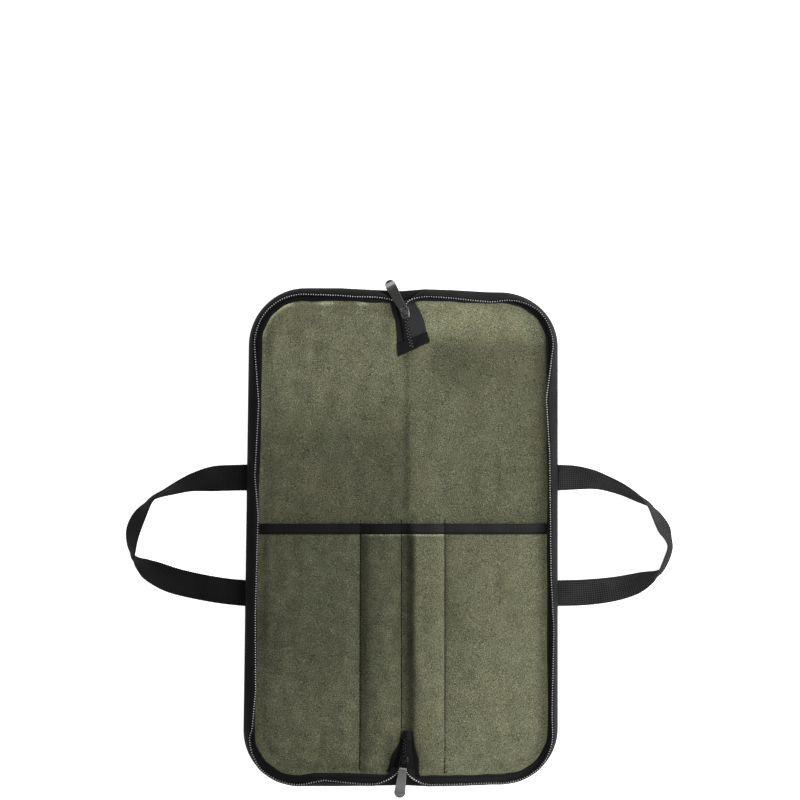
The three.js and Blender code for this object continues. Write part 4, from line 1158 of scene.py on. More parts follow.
@dataclass
class Zip:
    """One half's zip tape with its row of coil teeth, from one slider round to the other."""

    side: Side
    lean_places: Floats
    lean_shares: Floats
    thickness: float = 0.8
    foot_inset: float = 1.3
    rise: float = 10.0
    coil: float = 1.1
    run_in: float = 27.0
    run_in_ease: float = 11.0
    mouth_ease: float = 8.0
    drop_power: float = 2.2
    foot_step: float = 4.0
    foot_spread: float = 7.2
    slider_half: float = 5.25
    post: float = 0.9
    chain_level: float = 8.9
    tooth_pitch: float = 2.35
    tape_step: float = 2.4
    tape_lines: int = 6
    bow: float = 0.7
    ripple: float = 0.25
    slider_lines: int = 40
    rim_lines: int = 900

    def lean(self, place: Array) -> Array:
        """How far the tape's free edge comes in, as a share of its rise."""
        return np.interp(place, self.lean_places, self.lean_shares)

    def at_rim(self, place: Array) -> tuple[Array, Array]:
        """Foot and free edge where the tape is sewn to the rim.

        Args:
            place: places of the outline, as for RollForm.outline.

        Returns:
            The points of the foot and those of the free edge.
        """
        x, y, in_x, in_y = FORM.outline(self.side, place)
        lean = self.lean(place)
        foot_z = FORM.rim_top(x, y) + FORM.binding + 2 * FORM.gap
        reach = self.foot_inset + self.rise * lean
        foot = FORM.settle(x + in_x * self.foot_inset, y + in_y * self.foot_inset, foot_z)
        free = FORM.settle(x + in_x * reach, y + in_y * reach, foot_z + self.rise * np.sqrt(1 - lean ** 2))
        return foot, free

    def foot_floor(self, x: Array, y: Array) -> Array:
        """Height that the tape's foot keeps over what lies under it near the slider."""
        on_binding = FORM.edge_distance(x, y) < FORM.rim + self.foot_step
        under = np.where(on_binding, FORM.rim_top(x, y) + FORM.binding + FORM.gap, FORM.sheet_top(x, y))
        return under + 3 * FORM.gap

    def into_slider(self, zip_end: ZipEnd, share: Array) -> tuple[Array, Array]:
        """Foot and free edge between a slider's mouth and the rim.

        Args:
            zip_end: the slider's place.
            share: places along the way, 0 at the mouth and 1 at the rim.

        Returns:
            The points of the foot and those of the free edge.
        """
        s, end = self.side.value, zip_end.end.value
        forward, aside, middle = zip_end.axes()
        place = self.run_in / FORM.straight_x
        place = place if end > 0 else 5 - place
        foot_rim, free_rim = self.at_rim(np.array([place]))
        rim_x = s * self.run_in
        rim_y = end * (FORM.length / 2 - self.foot_inset)
        mouth = middle + forward * (self.slider_half + 2 * FORM.gap)
        edge = self.post + 3 * FORM.gap + 2 * self.coil
        lean = float(self.lean(np.array([place]))[0])
        curves = []
        for out, start_y in ((edge + self.foot_spread, rim_y), (edge, rim_y - end * self.rise * lean)):
            near = mouth + aside * s * out
            far = np.array([rim_x, start_y, 0])
            eased = np.array([rim_x - s * self.run_in_ease, start_y, 0])
            curves.append(bezier([near, near + forward * self.mouth_ease, eased, far], share))
        foot, free = curves
        free_z = self.chain_level + (free_rim[0, 2] - self.chain_level) * share ** self.drop_power
        low = FORM.settle(foot[:, 0], foot[:, 1], self.foot_floor(foot[:, 0], foot[:, 1]))
        high = FORM.settle(free[:, 0], free[:, 1], free_z)
        return low, high

    def stations(self, step: float) -> tuple[Array, Array]:
        """Foot and free edge from the top slider round to the bottom one.

        Args:
            step: the free edge's even step.

        Returns:
            The points of the foot and those of the free edge.
        """
        share = np.linspace(0, 1, self.slider_lines)[:-1]
        start = self.run_in / FORM.straight_x
        places = np.linspace(start, 5 - start, self.rim_lines)
        top, bottom = self.into_slider(TOP_END, share), self.into_slider(BOTTOM_END, share)
        rim = self.at_rim(places)
        foot = np.concatenate([top[0], rim[0], bottom[0][::-1]])
        free = np.concatenate([top[1], rim[1], bottom[1][::-1]])
        run = np.concatenate([[0], np.cumsum(np.linalg.norm(np.diff(free, axis=0), axis=1))])
        even = np.linspace(0, run[-1], int(run[-1] / step))
        pick = [np.stack([np.interp(even, run, edge[:, k]) for k in range(3)], -1) for edge in (foot, free)]
        return pick[0], pick[1]

    def frames(self, foot: Array, free: Array) -> tuple[Array, Array, Array]:
        """Unit directions at each station.

        Args:
            foot: the points of the foot.
            free: the points of the free edge.

        Returns:
            Along the free edge, up the tape, and out of its outer face.
        """
        along = np.gradient(free, axis=0)
        along /= np.linalg.norm(along, axis=1)[:, None]
        up = free - foot
        up /= np.linalg.norm(up, axis=1)[:, None]
        out = np.cross(along, up) * -self.side.value
        out /= np.linalg.norm(out, axis=1)[:, None]
        return along, up, out

    def build_tape(self) -> Piece:
        """Makes the tape, bowed a little outwards and faintly rippled at its free edge."""
        foot, free = self.stations(self.tape_step)
        _, _, out = self.frames(foot, free)
        shares = np.linspace(0, 1, self.tape_lines)
        count = np.arange(len(foot))
        ripple = self.ripple * (np.sin(count * 0.31) + np.sin(count * 0.83 + 1))
        inner = []
        for share in shares:
            swell = self.bow * math.sin(math.pi * share) + ripple * share * 0.6
            inner.append(foot + (free - foot) * share + out * swell[:, None])
        outer = [line + out * self.thickness for line in inner[::-1]]
        # Painted light on the tape, from EDGE_TRIM: darker on the left, lighter to the right.
        return sweep(f"zip_tape_{self.side.word}", np.stack(inner + outer, 1), tone=EDGE_TRIM.tone)

    def build_coil(self) -> Piece:
        """Makes the coil: one tooth's shape, set across the tape's free edge at every pitch."""
        foot, free = self.stations(self.tooth_pitch)
        along, up, out = self.frames(foot, free)
        middle = free + up * (self.coil + 2 * FORM.gap) * 0.72
        # Painted highlight on each tooth's crest, painted shade at its ends.
        profile = np.array([[-1.0, 0.25, 0.3, -0.2, -0.1, 0.03], [-0.5, 0.42, 0.55, -0.15, 0, 0.04],
                            [-0.24, 0.4, 0.72, -0.1, 0, 1.0], [0.24, 0.4, 0.72, 0.1, 0, 1.0],
                            [0.5, 0.42, 0.55, 0.15, 0, 0.04], [1.0, 0.25, 0.3, 0.2, -0.1, 0.03]])
        profile[:, 0] *= self.coil * 1.12
        return beads(f"zip_coil_{self.side.word}", middle, up, along, out, profile, 6)

    def dress(self, tape: Piece, coil: Piece,
              finishes: Finishes) -> None:
        """Gives the tape and its coil their finishes."""
        word = self.side.word
        settle_piece(tape, finishes["tape"], "roll", [f"zipper_tape_{word}"])
        settle_piece(coil, finishes["coil"], "roll", [f"zipper_coil_{word}"])


LEFT_ZIP = Zip(Side.LEFT,
               (0, 0.5, 1, 1.5, 2, 2.15, 2.34, 2.44, 2.7, 2.9, 3.1, 3.5, 4, 4.23, 4.6, 5),
               (0.5, 0.6, 0.45, 0.36, 0.44, 0.86, 0.62, 0.92, 0.8, 0.9, 0.4, 0.05, 0.12, 0.5, 0.15, 0.1))
RIGHT_ZIP = Zip(Side.RIGHT,
                (0, 0.4, 0.9, 1.2, 1.5, 2, 2.14, 2.28, 2.6, 2.74, 2.95, 3.5, 4.2, 5),
                (0.5, 0.6, 0.82, 0.5, 0.22, 0.35, 0.9, 0.64, 0.52, 0.28, 0.44, 0.05, 0.1, 0.1))


@dataclass
class Stitches:
    """Rows of lockstitch in dark thread, each stitch pulled a little into the cloth at its ends."""

    pitch: float = 2.7
    length: float = 2.6
    radius: float = 0.6
    flat_share: float = 0.45
    tack: float = 5.2
    pocket_ends: Floats = (-226.0, -183.0, -228.5)
    band_over: float = 1.1
    band_under: float = 9.2
    band_rise: float = 0.8
    band_line: float = 7.8
    band_seat: float = 0.62
    edge_line: float = 8.6
    edge_pitch: float = 3.1
    edge_sink: float = 0.12
    box_half: float = 9.5
    box_level: float = 0.27
    box_near: float = 5.0
    box_far: float = 31.0

    def row(self, name: str, path: Array, pitch: float | None = None,
            flat: bool = False) -> Piece:
        """Makes one row of stitches.

        Args:
            name: the piece's name.
            path: points along the row, on the cloth's upper face.
            pitch: the stitches' spacing, if not the usual one.
            flat: whether the stitches lie flattened, as under the body's weight.

        Returns:
            The object.
        """
        run = np.concatenate([[0], np.cumsum(np.linalg.norm(np.diff(path, axis=0), axis=1))])
        even = np.arange(0.5, run[-1] / (pitch or self.pitch)) * (pitch or self.pitch)
        at = np.stack([np.interp(even, run, path[:, k]) for k in range(3)], -1)
        ahead = np.stack([np.interp(even + 0.5, run, path[:, k]) for k in range(3)], -1)
        behind = np.stack([np.interp(even - 0.5, run, path[:, k]) for k in range(3)], -1)
        along = ahead - behind
        along /= np.linalg.norm(along, axis=1)[:, None]
        side = np.cross(along, [[0, 0, 1.0]])
        side /= np.linalg.norm(side, axis=1)[:, None]
        up = np.cross(side, along)
        half, r = self.length / 2, self.radius * (self.flat_share if flat else 1)
        rows = [[-1, 0.5, 0.3, 0, -0.6, 1], [-0.7, 0.9, 0.8, 0, 0, 1], [0, 1, 0.9, 0, 0.3, 1],
                [0.7, 0.9, 0.8, 0, 0, 1], [1, 0.5, 0.3, 0, -0.6, 1]]
        profile = np.array(rows) * [half, r, r, r, r, 1]
        return beads(name, at, along, side, up, profile, 4)

    def pocket_rows(self) -> list[Piece]:
        """The three rows that part the pockets, from a tack above the mouth band to the rim."""
        rows = []
        for name, pocket, low in zip(("left", "middle", "right"), FORM.pockets[1:], self.pocket_ends):
            y = np.linspace(FORM.mouth_y + self.tack, low, 400)
            x = pocket.left + 0 * y
            above = y > FORM.mouth_y + self.band_over
            band = (y < FORM.mouth_y + self.band_over) & (y > FORM.mouth_y - self.band_under)
            top = np.where(above, FORM.lining_top(x, y), FORM.panel_top(x, y))
            top = top + np.where(band, FORM.gap + self.band_rise, 0)
            rows.append(self.row(f"pocket_stitches_{name}", FORM.settle(x, y, top)))
        return rows

    def band_row(self) -> Piece:
        """The row along the lower edge of the mouth band."""
        x = np.linspace(FORM.pockets[0].left + 1, FORM.pockets[-1].right - 1, 500)
        y = FORM.mouth_y - self.band_line + 0 * x
        top = FORM.panel_top(x, y) + FORM.gap + self.band_seat
        return self.row("band_stitches", FORM.settle(x, y, top))

    def edge_rows(self) -> list[Piece]:
        """The row along the inner edge of the binding, one half at a time."""
        rows = []
        for side in Side:
            x, y, in_x, in_y = FORM.outline(side, np.linspace(0.02, 4.98, 900))
            top = FORM.rim_top(x, y) + FORM.gap + FORM.binding - self.edge_sink
            path = FORM.settle(x + in_x * self.edge_line, y + in_y * self.edge_line, top)
            rows.append(self.row(f"edge_stitches_{side.word}", path, self.edge_pitch))
        return rows

    def box_rows(self) -> list[Piece]:
        """The crossed boxes that hold the handle ends, on the underside."""
        rows = []
        for side in Side:
            for number, centre in enumerate(FORM.strap_centres):
                fold = FORM.width / 2 - FORM.strap_sewn
                near, far = fold + self.box_near, fold + self.box_far
                low, high = centre - self.box_half, centre + self.box_half
                stops = [(near, low), (far, low), (near, high), (far, high), (near, low), (near, high),
                         (far, high), (far, low)]
                path = np.concatenate([np.linspace(a, b, 30)[:-1] for a, b in zip(stops[:-1], stops[1:])])
                x, y = side.value * path[:, 0], path[:, 1]
                row = FORM.settle(x, y, 0 * x + self.box_level)
                rows.append(self.row(f"handle_stitches_{side.word}_{number + 1}", row, flat=True))
        return rows

    def dress(self, rows: list[Piece], finishes: Finishes) -> None:
        """Gives the rows their thread."""
        for row in rows:
            settle_piece(row, finishes["thread"], "roll")


@dataclass(frozen=True)
class TailRow:
    """A section of the closed zip behind a slider; widths and heights are shares, as in the solid."""

    back: float
    left: float
    right: float
    chain: float
    fold: float
    left_lip: float
    right_lip: float
    turn: float


@dataclass
class ZipTail:
    """The closed zip lying in over the lining: both tapes, the meshed coils and the tab over the end."""

    zip_end: ZipEnd
    rows: tuple[TailRow, ...]
    # Painted light: the tape's lit and shaded halves, the tab's tone and how light the teeth are painted.
    light_half: float = 1.0
    dark_half: float = 0.3
    half_width: float = 16.0
    fold_share: float = 0.55
    thickness: float = 0.8
    tab_share: float = 0.7
    tab_extra: float = 0.35
    tab_tone: float = 0.45
    chain_level: float = 8.9
    slider_half: float = 5.85
    coil: float = 1.1
    samples: int = 33
    soft: int = 2
    zigzag: float = 1.5
    chain_tone: float = 0.2
    chain_share: float = 0.93
    chain_shift: float = -1.5
    front: float = 12.0
    slot: float = 8.0

    def read(self, column: str, back: float) -> float:
        """Reads a column of the rows at a share of the tail's length."""
        places = [row.back for row in self.rows]
        return float(np.interp(back, places, [getattr(row, column) for row in self.rows]))

    def surface(self, back: float, extra: float) -> tuple[Array, Array]:
        """The tape's underside across one section.

        Args:
            back: the section's place, as a share of the tail's length.
            extra: how far it stands out past the tapes all round.

        Returns:
            Its points, and how far across each one is.
        """
        forward, aside, middle = self.zip_end.axes()
        left = -self.read("left", back) * self.half_width - extra
        right = self.read("right", back) * self.half_width + extra
        across = np.linspace(left, right, self.samples)
        stops = [left, left * self.fold_share, -self.coil, self.coil, right]
        shares = [self.read(c, back) for c in ("left_lip", "fold", "chain", "chain", "right_lip")]
        rise = np.interp(across, stops, shares)
        near = float(1 - smooth_step(np.array((back * self.zip_end.tail - self.slider_half) / 3)))
        for _ in range(self.soft):
            rise[1:-1] = (rise[:-2] + rise[1:-1] + rise[2:]) / 3
        turn = math.radians(self.read("turn", back))
        spot = middle - forward * back * self.zip_end.tail + across[:, None] * (
            aside * math.cos(turn) + forward * math.sin(turn) * self.zip_end.end.value)
        base = float(FORM.sheet_top(middle[0], middle[1])) + FORM.gap
        lift = base + rise * (self.chain_level - base - self.thickness / 2)
        lift = lift + near * np.exp(-(across / 6) ** 4) * (self.slot - lift)
        x, y = spot[:, 0], spot[:, 1]
        on_binding = FORM.edge_distance(x, y) < FORM.rim + 2
        under = np.where(on_binding, FORM.rim_top(x, y) + FORM.binding, FORM.sheet_top(x, y))
        low = np.maximum(under + FORM.gap, lift)
        return FORM.settle(x, y, low), across

    def tones(self, across: Array) -> Array:
        """Painted light across a section: the right half is painted lighter as it catches the light, and
        painted shade lies along the fold.
        """
        half = self.dark_half + (self.light_half - self.dark_half) * smooth_step((across - 0.2) / 1.2)
        return half * (1 - 0.95 * np.exp(-((across - across[0] * self.fold_share) / 1.1) ** 2))

    def strip(self, name: str, backs: Array, extra: float) -> Piece:
        """Makes a strip of the folded tapes, or of the tab wrapped round them.

        Args:
            name: the piece's name.
            backs: its sections, as shares of the tail's length.
            extra: how far the strip stands out past the tapes all round.

        Returns:
            The object.
        """
        sections, tones = [], []
        for back in backs:
            low, across = self.surface(float(back), extra)
            top = low + np.array([[0, 0, self.thickness + 2 * extra]])
            top[[0, -1], 2] -= 0.3 * self.thickness
            sections.append(np.concatenate([low, top[::-1]]))
            # Painted light and shade across the tape; the tab keeps one tone.
            shade = self.tones(across) if extra == 0 else self.tab_tone + 0 * across
            tones.append(np.concatenate([shade, shade[::-1]]))
        return sweep(name, np.array(sections), tone=np.concatenate(tones))

    def chain(self) -> Piece:
        """Makes the meshed coils' teeth, left and right by turns."""
        forward, aside, _ = self.zip_end.axes()
        start = self.slider_half / self.zip_end.tail
        backs = np.arange(start, self.chain_share, self.zigzag / self.zip_end.tail)
        tops = []
        for back in backs:
            low, across = self.surface(float(back), 0)
            shift = self.chain_shift * min(1.0, 4 * (back - start))
            tops.append([np.interp(shift, across, low[:, k]) for k in range(3)])
        rise = self.thickness + 0.3 + np.where(backs > self.tab_share, 2 * self.tab_extra, 0)
        top = np.array(tops) + rise[:, None] * np.array([[0, 0, 1.0]])
        sign = np.where(np.arange(len(top)) % 2, 1.0, -1.0)[:, None]
        middle = top + aside * sign * 0.95
        slant = aside + forward * 0.35 * sign
        slant /= np.linalg.norm(slant, axis=1)[:, None]
        up = np.broadcast_to([0, 0, 1.0], slant.shape)
        side = np.cross(up, slant)
        # Painted highlight on each meshed tooth's middle, fading towards its ends.
        profile = np.array([
            [-1.05, 0.25, 0.3, 0, -0.2, 0.1], [-0.5, 0.42, 0.6, 0, 0, 0.35], [0, 0.45, 0.65, 0, 0, 1],
            [0.5, 0.42, 0.6, 0, 0, 0.35], [1.05, 0.25, 0.3, 0, -0.2, 0.1]])
        name = f"zip_chain_{self.zip_end.end.word}"
        return beads(name, middle, slant, side, up, profile, 6, self.chain_tone)

    def build(self, finishes: Finishes) -> None:
        """Makes and dresses the tail's pieces."""
        word = self.zip_end.end.word
        start = -self.front / self.zip_end.tail
        tape = self.strip(f"zip_tail_{word}", np.linspace(start, self.tab_share + 0.02, 34), 0)
        tab = self.strip(f"zip_tab_{word}", np.linspace(self.tab_share, 1.0, 14), self.tab_extra)
        settle_piece(tape, finishes["tape"], "roll", [f"zipper_tail_{word}"])
        settle_piece(tab, finishes["binding"], "roll", [f"zipper_end_tab_{word}"])
        settle_piece(self.chain(), finishes["coil"], "roll")


TOP_TAIL = ZipTail(TOP_END, (
    TailRow(-0.32, 0.6, 0.8, 0.3, 0.2, 0.0, 0.1, 0), TailRow(-0.24, 0.7, 0.75, 0.5, 0.3, 0.1, 0.3, 0),
    TailRow(-0.14, 0.76, 0.75, 0.9, 0.5, 0.2, 0.5, 0),
    TailRow(0.0, 0.72, 0.85, 1.0, 0.55, 0.15, 0.6, 0),
    TailRow(0.16, 0.66, 0.95, 1.0, 0.55, 0.15, 0.6, 0), TailRow(0.4, 0.74, 1.0, 0.9, 0.35, 0.1, 0.45, 2),
    TailRow(0.68, 0.88, 1.0, 0.6, 0.3, 0.05, 0.3, 7), TailRow(1.0, 1.0, 1.06, 0.25, 0.15, 0, 0.1, 11),
), light_half=1.5, dark_half=0.75)
BOTTOM_TAIL = ZipTail(BOTTOM_END, (
    TailRow(-0.4, 0.95, 1.1, 0.3, 0.2, 0.0, 0.0, 0), TailRow(-0.3, 0.86, 1.0, 0.5, 0.3, 0.1, 0.1, 0),
    TailRow(-0.17, 0.8, 0.95, 0.9, 0.6, 0.1, 0.1, 0),
    TailRow(0.0, 0.8, 0.92, 1.0, 0.6, 0.1, 0.1, 0),
    TailRow(0.2, 0.72, 0.84, 1.0, 0.6, 0.1, 0.1, 0), TailRow(0.45, 0.48, 0.6, 1.15, 0.75, 0.1, 0.1, 0),
    TailRow(0.72, 0.37, 0.42, 1.25, 0.8, 0.2, 0.2, 0), TailRow(1.0, 0.25, 0.25, 1.2, 0.8, 0.4, 0.4, 0),
), light_half=0.35, dark_half=0.2, chain_tone=0.05, chain_share=0.7)


def start_solid(name: str, size: Point, middle: Point) -> Piece:
    """Adds a block of a size in millimetres, alone selected, ready to be shaped.

    Args:
        name: the object's name.
        size: its width, length and height.
        middle: where its middle lies.

    Returns:
        The object.
    """
    bpy.ops.object.select_all(action="DESELECT")
    bpy.ops.mesh.primitive_cube_add(size=1, location=[v * MM for v in middle])
    block = bpy.context.object
    block.name = name
    block.scale = [v * MM for v in size]
    bpy.ops.object.transform_apply(location=True, rotation=False, scale=True)
    return block


def pick(piece: Piece, kind: str, test: Callable[[bpy.types.bpy_struct], bool]) -> None:
    """Selects only the vertices, edges or faces that pass a test, in edit mode.

    Args:
        piece: the object being edited.
        kind: VERT, EDGE or FACE.
        test: whether an element of the edit mesh is selected.
    """
    bpy.ops.mesh.select_all(action="DESELECT")
    bpy.ops.mesh.select_mode(type=kind)
    shape = bmesh.from_edit_mesh(piece.data)
    for element in {"VERT": shape.verts, "EDGE": shape.edges, "FACE": shape.faces}[kind]:
        element.select = test(element)
    shape.select_flush_mode()
    bmesh.update_edit_mesh(piece.data)


def apply_bevel(piece: Piece, width: float, segments: int = 3, angle: float = 40) -> None:
    """Rounds a piece's sharp edges with a bevel and applies it.

    Args:
        piece: the object.
        width: the bevel's width in millimetres.
        segments: its rows of faces.
        angle: how sharp an edge has to be, in degrees.
    """
    bpy.context.view_layer.objects.active = piece
    bevel = piece.modifiers.new("edge_round", "BEVEL")
    bevel.width = width * MM
    bevel.segments = segments
    bevel.angle_limit = math.radians(angle)
    bpy.ops.object.modifier_apply(modifier=bevel.name)
    bpy.ops.object.shade_smooth_by_angle(angle=math.radians(38))


@dataclass
class Slider:
    """A coil zip's slider: two plates joined by a post, flanges beside the coil and a bridge for the pull."""

    zip_end: ZipEnd
    lift: float = 6.5
    length: float = 10.5
    mouth_width: float = 9.6
    tail_width: float = 7.4
    plate: float = 1.1
    channel: float = 2.6
    wall: float = 0.9
    flange: float = 1.2
    post: float = 1.8
    post_length: float = 3.7
    crown: float = 0.35
    bridge_length: float = 6.8
    bridge_width: float = 3.9
    bridge_clear: float = 2.4
    bridge_thickness: float = 1.6
    edge_round: float = 0.32
    # Painted light: the slider's tone and how strong its painted glints are.
    tone: float = 1.2
    shine: float = 5.0

    @property
    def top(self) -> float:
        """Height of the upper plate's upper face."""
        return self.lift + 2 * self.plate + self.channel

    def build_plate(self, name: str, z: float, outward: int) -> Piece:
        """Makes one plate, wider at its mouth, with a low crown and with flanges on its inner side.

        Args:
            name: the object's name.
            z: height of the plate's lower face.
            outward: 1 if its outer face looks up, -1 if down.

        Returns:
            The object.
        """
        plate = start_solid(name, (self.tail_width, self.length, self.plate), (0, 0, z + self.plate / 2))
        bpy.ops.object.mode_set(mode="EDIT")
        pick(plate, "VERT", lambda v: v.co.y > 0)
        widen = self.mouth_width / self.tail_width
        bpy.ops.transform.resize(value=(widen, 1, 1), center_override=(0, 0, 0))
        pick(plate, "FACE", lambda f: f.normal.z * outward > 0.9)
        bpy.ops.mesh.inset(thickness=1.3 * MM)
        bpy.ops.transform.translate(value=(0, 0, self.crown * outward * MM))
        pick(plate, "FACE", lambda f: f.normal.z * outward < -0.9)
        bpy.ops.mesh.inset(thickness=self.wall * MM)
        pick(plate, "FACE", lambda f: f.normal.z * outward < -0.9
             and abs(f.calc_center_median().x) > 0.3 * self.tail_width * MM)
        reach = self.flange if outward > 0 else 0.3
        bpy.ops.mesh.extrude_region_move(TRANSFORM_OT_translate={"value": (0, 0, -reach * outward * MM)})
        bpy.ops.object.mode_set(mode="OBJECT")
        apply_bevel(plate, self.edge_round, 2)
        return plate

    def build_post(self) -> Piece:
        """Makes the post between the plates, narrower inside than at the mouth."""
        height = 2 * self.plate + self.channel - 0.6
        middle = (0, self.length / 2 - self.post_length / 2 - 0.1, self.lift + 0.3 + height / 2)
        post = start_solid("slider_post", (self.post, self.post_length, height), middle)
        bpy.ops.object.mode_set(mode="EDIT")
        pick(post, "VERT", lambda v: v.co.y < 0)
        bpy.ops.transform.resize(value=(0.5, 1, 1), center_override=(0, 0, 0))
        bpy.ops.object.mode_set(mode="OBJECT")
        apply_bevel(post, 0.2, 2)
        return post

    def build_bridge(self) -> Piece:
        """Makes the bridge: its flat section spun half round, drawn to height and rounded."""
        radius = self.bridge_length / 2 - self.bridge_thickness / 2
        bpy.ops.object.select_all(action="DESELECT")
        bpy.ops.mesh.primitive_plane_add(size=1, location=(0, 0, 0))
        bridge = bpy.context.object
        bridge.name = "slider_bridge"
        bridge.scale = (self.bridge_width * MM, self.bridge_thickness * MM, 1)
        bridge.location = (0, -radius * MM, 0)
        bpy.ops.object.transform_apply(location=True, rotation=False, scale=True)
        bpy.ops.object.mode_set(mode="EDIT")
        bpy.ops.mesh.select_all(action="SELECT")
        bpy.ops.mesh.spin(steps=14, angle=math.pi, center=(0, 0, 0), axis=(1, 0, 0))
        bpy.ops.mesh.select_all(action="SELECT")
        bpy.ops.mesh.remove_doubles(threshold=0.01 * MM)
        bpy.ops.mesh.select_all(action="DESELECT")
        bpy.ops.mesh.select_non_manifold()
        bpy.ops.mesh.edge_face_add()
        bpy.ops.mesh.select_all(action="SELECT")
        height = (self.bridge_clear + self.bridge_thickness) / (self.bridge_length / 2)
        bpy.ops.transform.resize(value=(1, 1, height), center_override=(0, 0, 0))
        bpy.ops.mesh.normals_make_consistent(inside=False)
        bpy.ops.transform.translate(value=(0, 0, self.top * MM))
        bpy.ops.object.mode_set(mode="OBJECT")
        apply_bevel(bridge, 0.38, 3, 60)
        return bridge

    def glints(self, x: Array, y: Array) -> Array:
        """Painted highlights on the plating: the left shoulder at the mouth and the right flank."""
        return hill(x, y, (-4.2, 3.0), (0.9, 3.0)) + 0.6 * hill(x, y, (3.9, -2.0), (0.7, 2.4))

    def build(self, finishes: Finishes) -> None:
        """Makes the slider, sets it on the zip and dresses it."""
        parts = [self.build_plate("slider_upper_plate", self.lift + self.plate + self.channel, 1),
                 self.build_plate("slider_lower_plate", self.lift, -1),
                 self.build_post(), self.build_bridge()]
        slider = join_parts(f"slider_body_{self.zip_end.end.word}", parts)
        # Painted highlights: glints on the left shoulder and the right flank.
        paint_tone(slider, lambda at: self.tone * (1 + self.shine * self.glints(at[:, 0], at[:, 1])))
        set_at_end(slider, self.zip_end, 0, 0)
        settle_piece(slider, finishes["metal"], "roll", [f"slider_{self.zip_end.end.word}"])


@dataclass
class Pull:
    """A slider's pull tab: a tapered plate with a round tip, a window round the bridge and soft edges."""

    zip_end: ZipEnd
    tone: float = 1.0
    length: float = 35.0
    tip_width: float = 11.2
    thickness: float = 1.4
    crossbar: float = 1.4
    window: float = 5.0
    window_width: float = 5.0
    pivot: float = 12.5
    heel_round: float = 0.9
    dip: float = 0.3
    dip_from: float = 31.0
    # Painted light on the plating: painted shade on the rounded rim, and bright and dark bands along the
    # plate.
    rim_side: float = 1.0
    rim_tip: float = 0.2
    rim_depth: float = 0.25
    light_places: Floats = (5.9, 6.3, 7.0, 7.6, 24.0, 28.0, 30.4, 32.0, 33.2, 35.0)
    painted_light_along: Floats = (0.05, 2.0, 2.0, 0.9, 1.3, 1.2, 0.85, 1.3, 1.0, 0.5)

    def build_plate(self) -> Piece:
        """Makes the plate with its window, its pivot line at the origin and its tip towards +Y."""
        tip, root = self.tip_width / 2, self.zip_end.pull_root / 2
        heel = -self.crossbar / 2
        neck = self.window + self.crossbar
        plate = start_solid("pull_plate", (2 * root, self.length - heel, self.thickness),
                            (0, (self.length + heel) / 2, 0))
        bpy.ops.object.mode_set(mode="EDIT")
        self.cut_across(neck)
        pick(plate, "VERT", lambda v: v.co.y > (self.length - 0.1) * MM)
        bpy.ops.transform.resize(value=(tip / root, 1, 1), center_override=(0, 0, 0))
        for end, radius, segments in ((self.length, 0.98 * tip, 10), (heel, self.heel_round, 3)):
            pick(plate, "EDGE", lambda e: abs(e.verts[0].co.z - e.verts[1].co.z) > 0.5 * self.thickness * MM
                 and abs(e.verts[0].co.y - end * MM) < 0.1 * MM)
            bpy.ops.mesh.bevel(offset=radius * MM, segments=segments, affect="EDGES")
        for line in self.light_places[:-1]:
            self.cut_across(line)
        pick(plate, "VERT", lambda v: v.co.y > self.dip_from * MM)
        bpy.ops.transform.translate(value=(0, 0, -self.dip * MM))
        bpy.ops.object.mode_set(mode="OBJECT")
        self.cut_window(plate)
        apply_bevel(plate, 0.42, 3)
        return plate

    def cut_across(self, line: float) -> None:
        """Cuts a row of edges across the plate that is being edited."""
        bpy.ops.mesh.select_all(action="SELECT")
        bpy.ops.mesh.bisect(plane_co=(0, line * MM, 0), plane_no=(0, 1, 0))

    def cut_window(self, plate: Piece) -> None:
        """Cuts the window for the bridge out of the plate."""
        cutter = start_solid("pull_window", (self.window_width, self.window, 3 * self.thickness),
                             (0, (self.crossbar + self.window) / 2, 0))
        apply_bevel(cutter, 0.9, 3)
        bpy.context.view_layer.objects.active = plate
        cut = plate.modifiers.new("window", "BOOLEAN")
        cut.operation = "DIFFERENCE"
        cut.object = cutter
        bpy.ops.object.modifier_apply(modifier=cut.name)
        bpy.data.objects.remove(cutter)

    def painted_light_tone(self, at: Array) -> Array:
        """How light the plating is, as painted light: bright bands across the tip and the root, with painted
        shade on the rounded rim.

        Args:
            at: the plate's points in millimetres.

        Returns:
            A share for each point.
        """
        in_dip = at[:, 1] > self.dip_from
        depth = self.thickness / 2 - np.abs(at[:, 2] + self.dip * in_dip)
        rim = np.where(at[:, 1] > self.dip_from - 3, self.rim_tip, self.rim_side)
        edge = rim + (1 - rim) * np.clip(1 - depth / self.rim_depth, 0, 1)
        return self.tone * edge * np.interp(at[:, 1], self.light_places, self.painted_light_along)

    def build(self, finishes: Finishes) -> None:
        """Makes the pull, sets it in the bridge and dresses it."""
        pull = self.build_plate()
        pull.name = f"pull_tab_{self.zip_end.end.word}"
        # Painted highlights and shade on the pull's plating.
        paint_tone(pull, self.painted_light_tone)
        set_at_end(pull, self.zip_end, self.pivot, self.zip_end.pull_turn)
        settle_piece(pull, finishes["metal"], f"{self.zip_end.end.word}_pull",
                     [f"pull_{self.zip_end.end.word}"])


def join_parts(name: str, parts: list[Piece]) -> Piece:
    """Joins parts into one object.

    Args:
        name: the object's name.
        parts: the parts, of which the first one grows.

    Returns:
        The object.
    """
    bpy.ops.object.select_all(action="DESELECT")
    for part in parts:
        part.select_set(True)
    bpy.context.view_layer.objects.active = parts[0]
    bpy.ops.object.join()
    parts[0].name = name
    return parts[0]


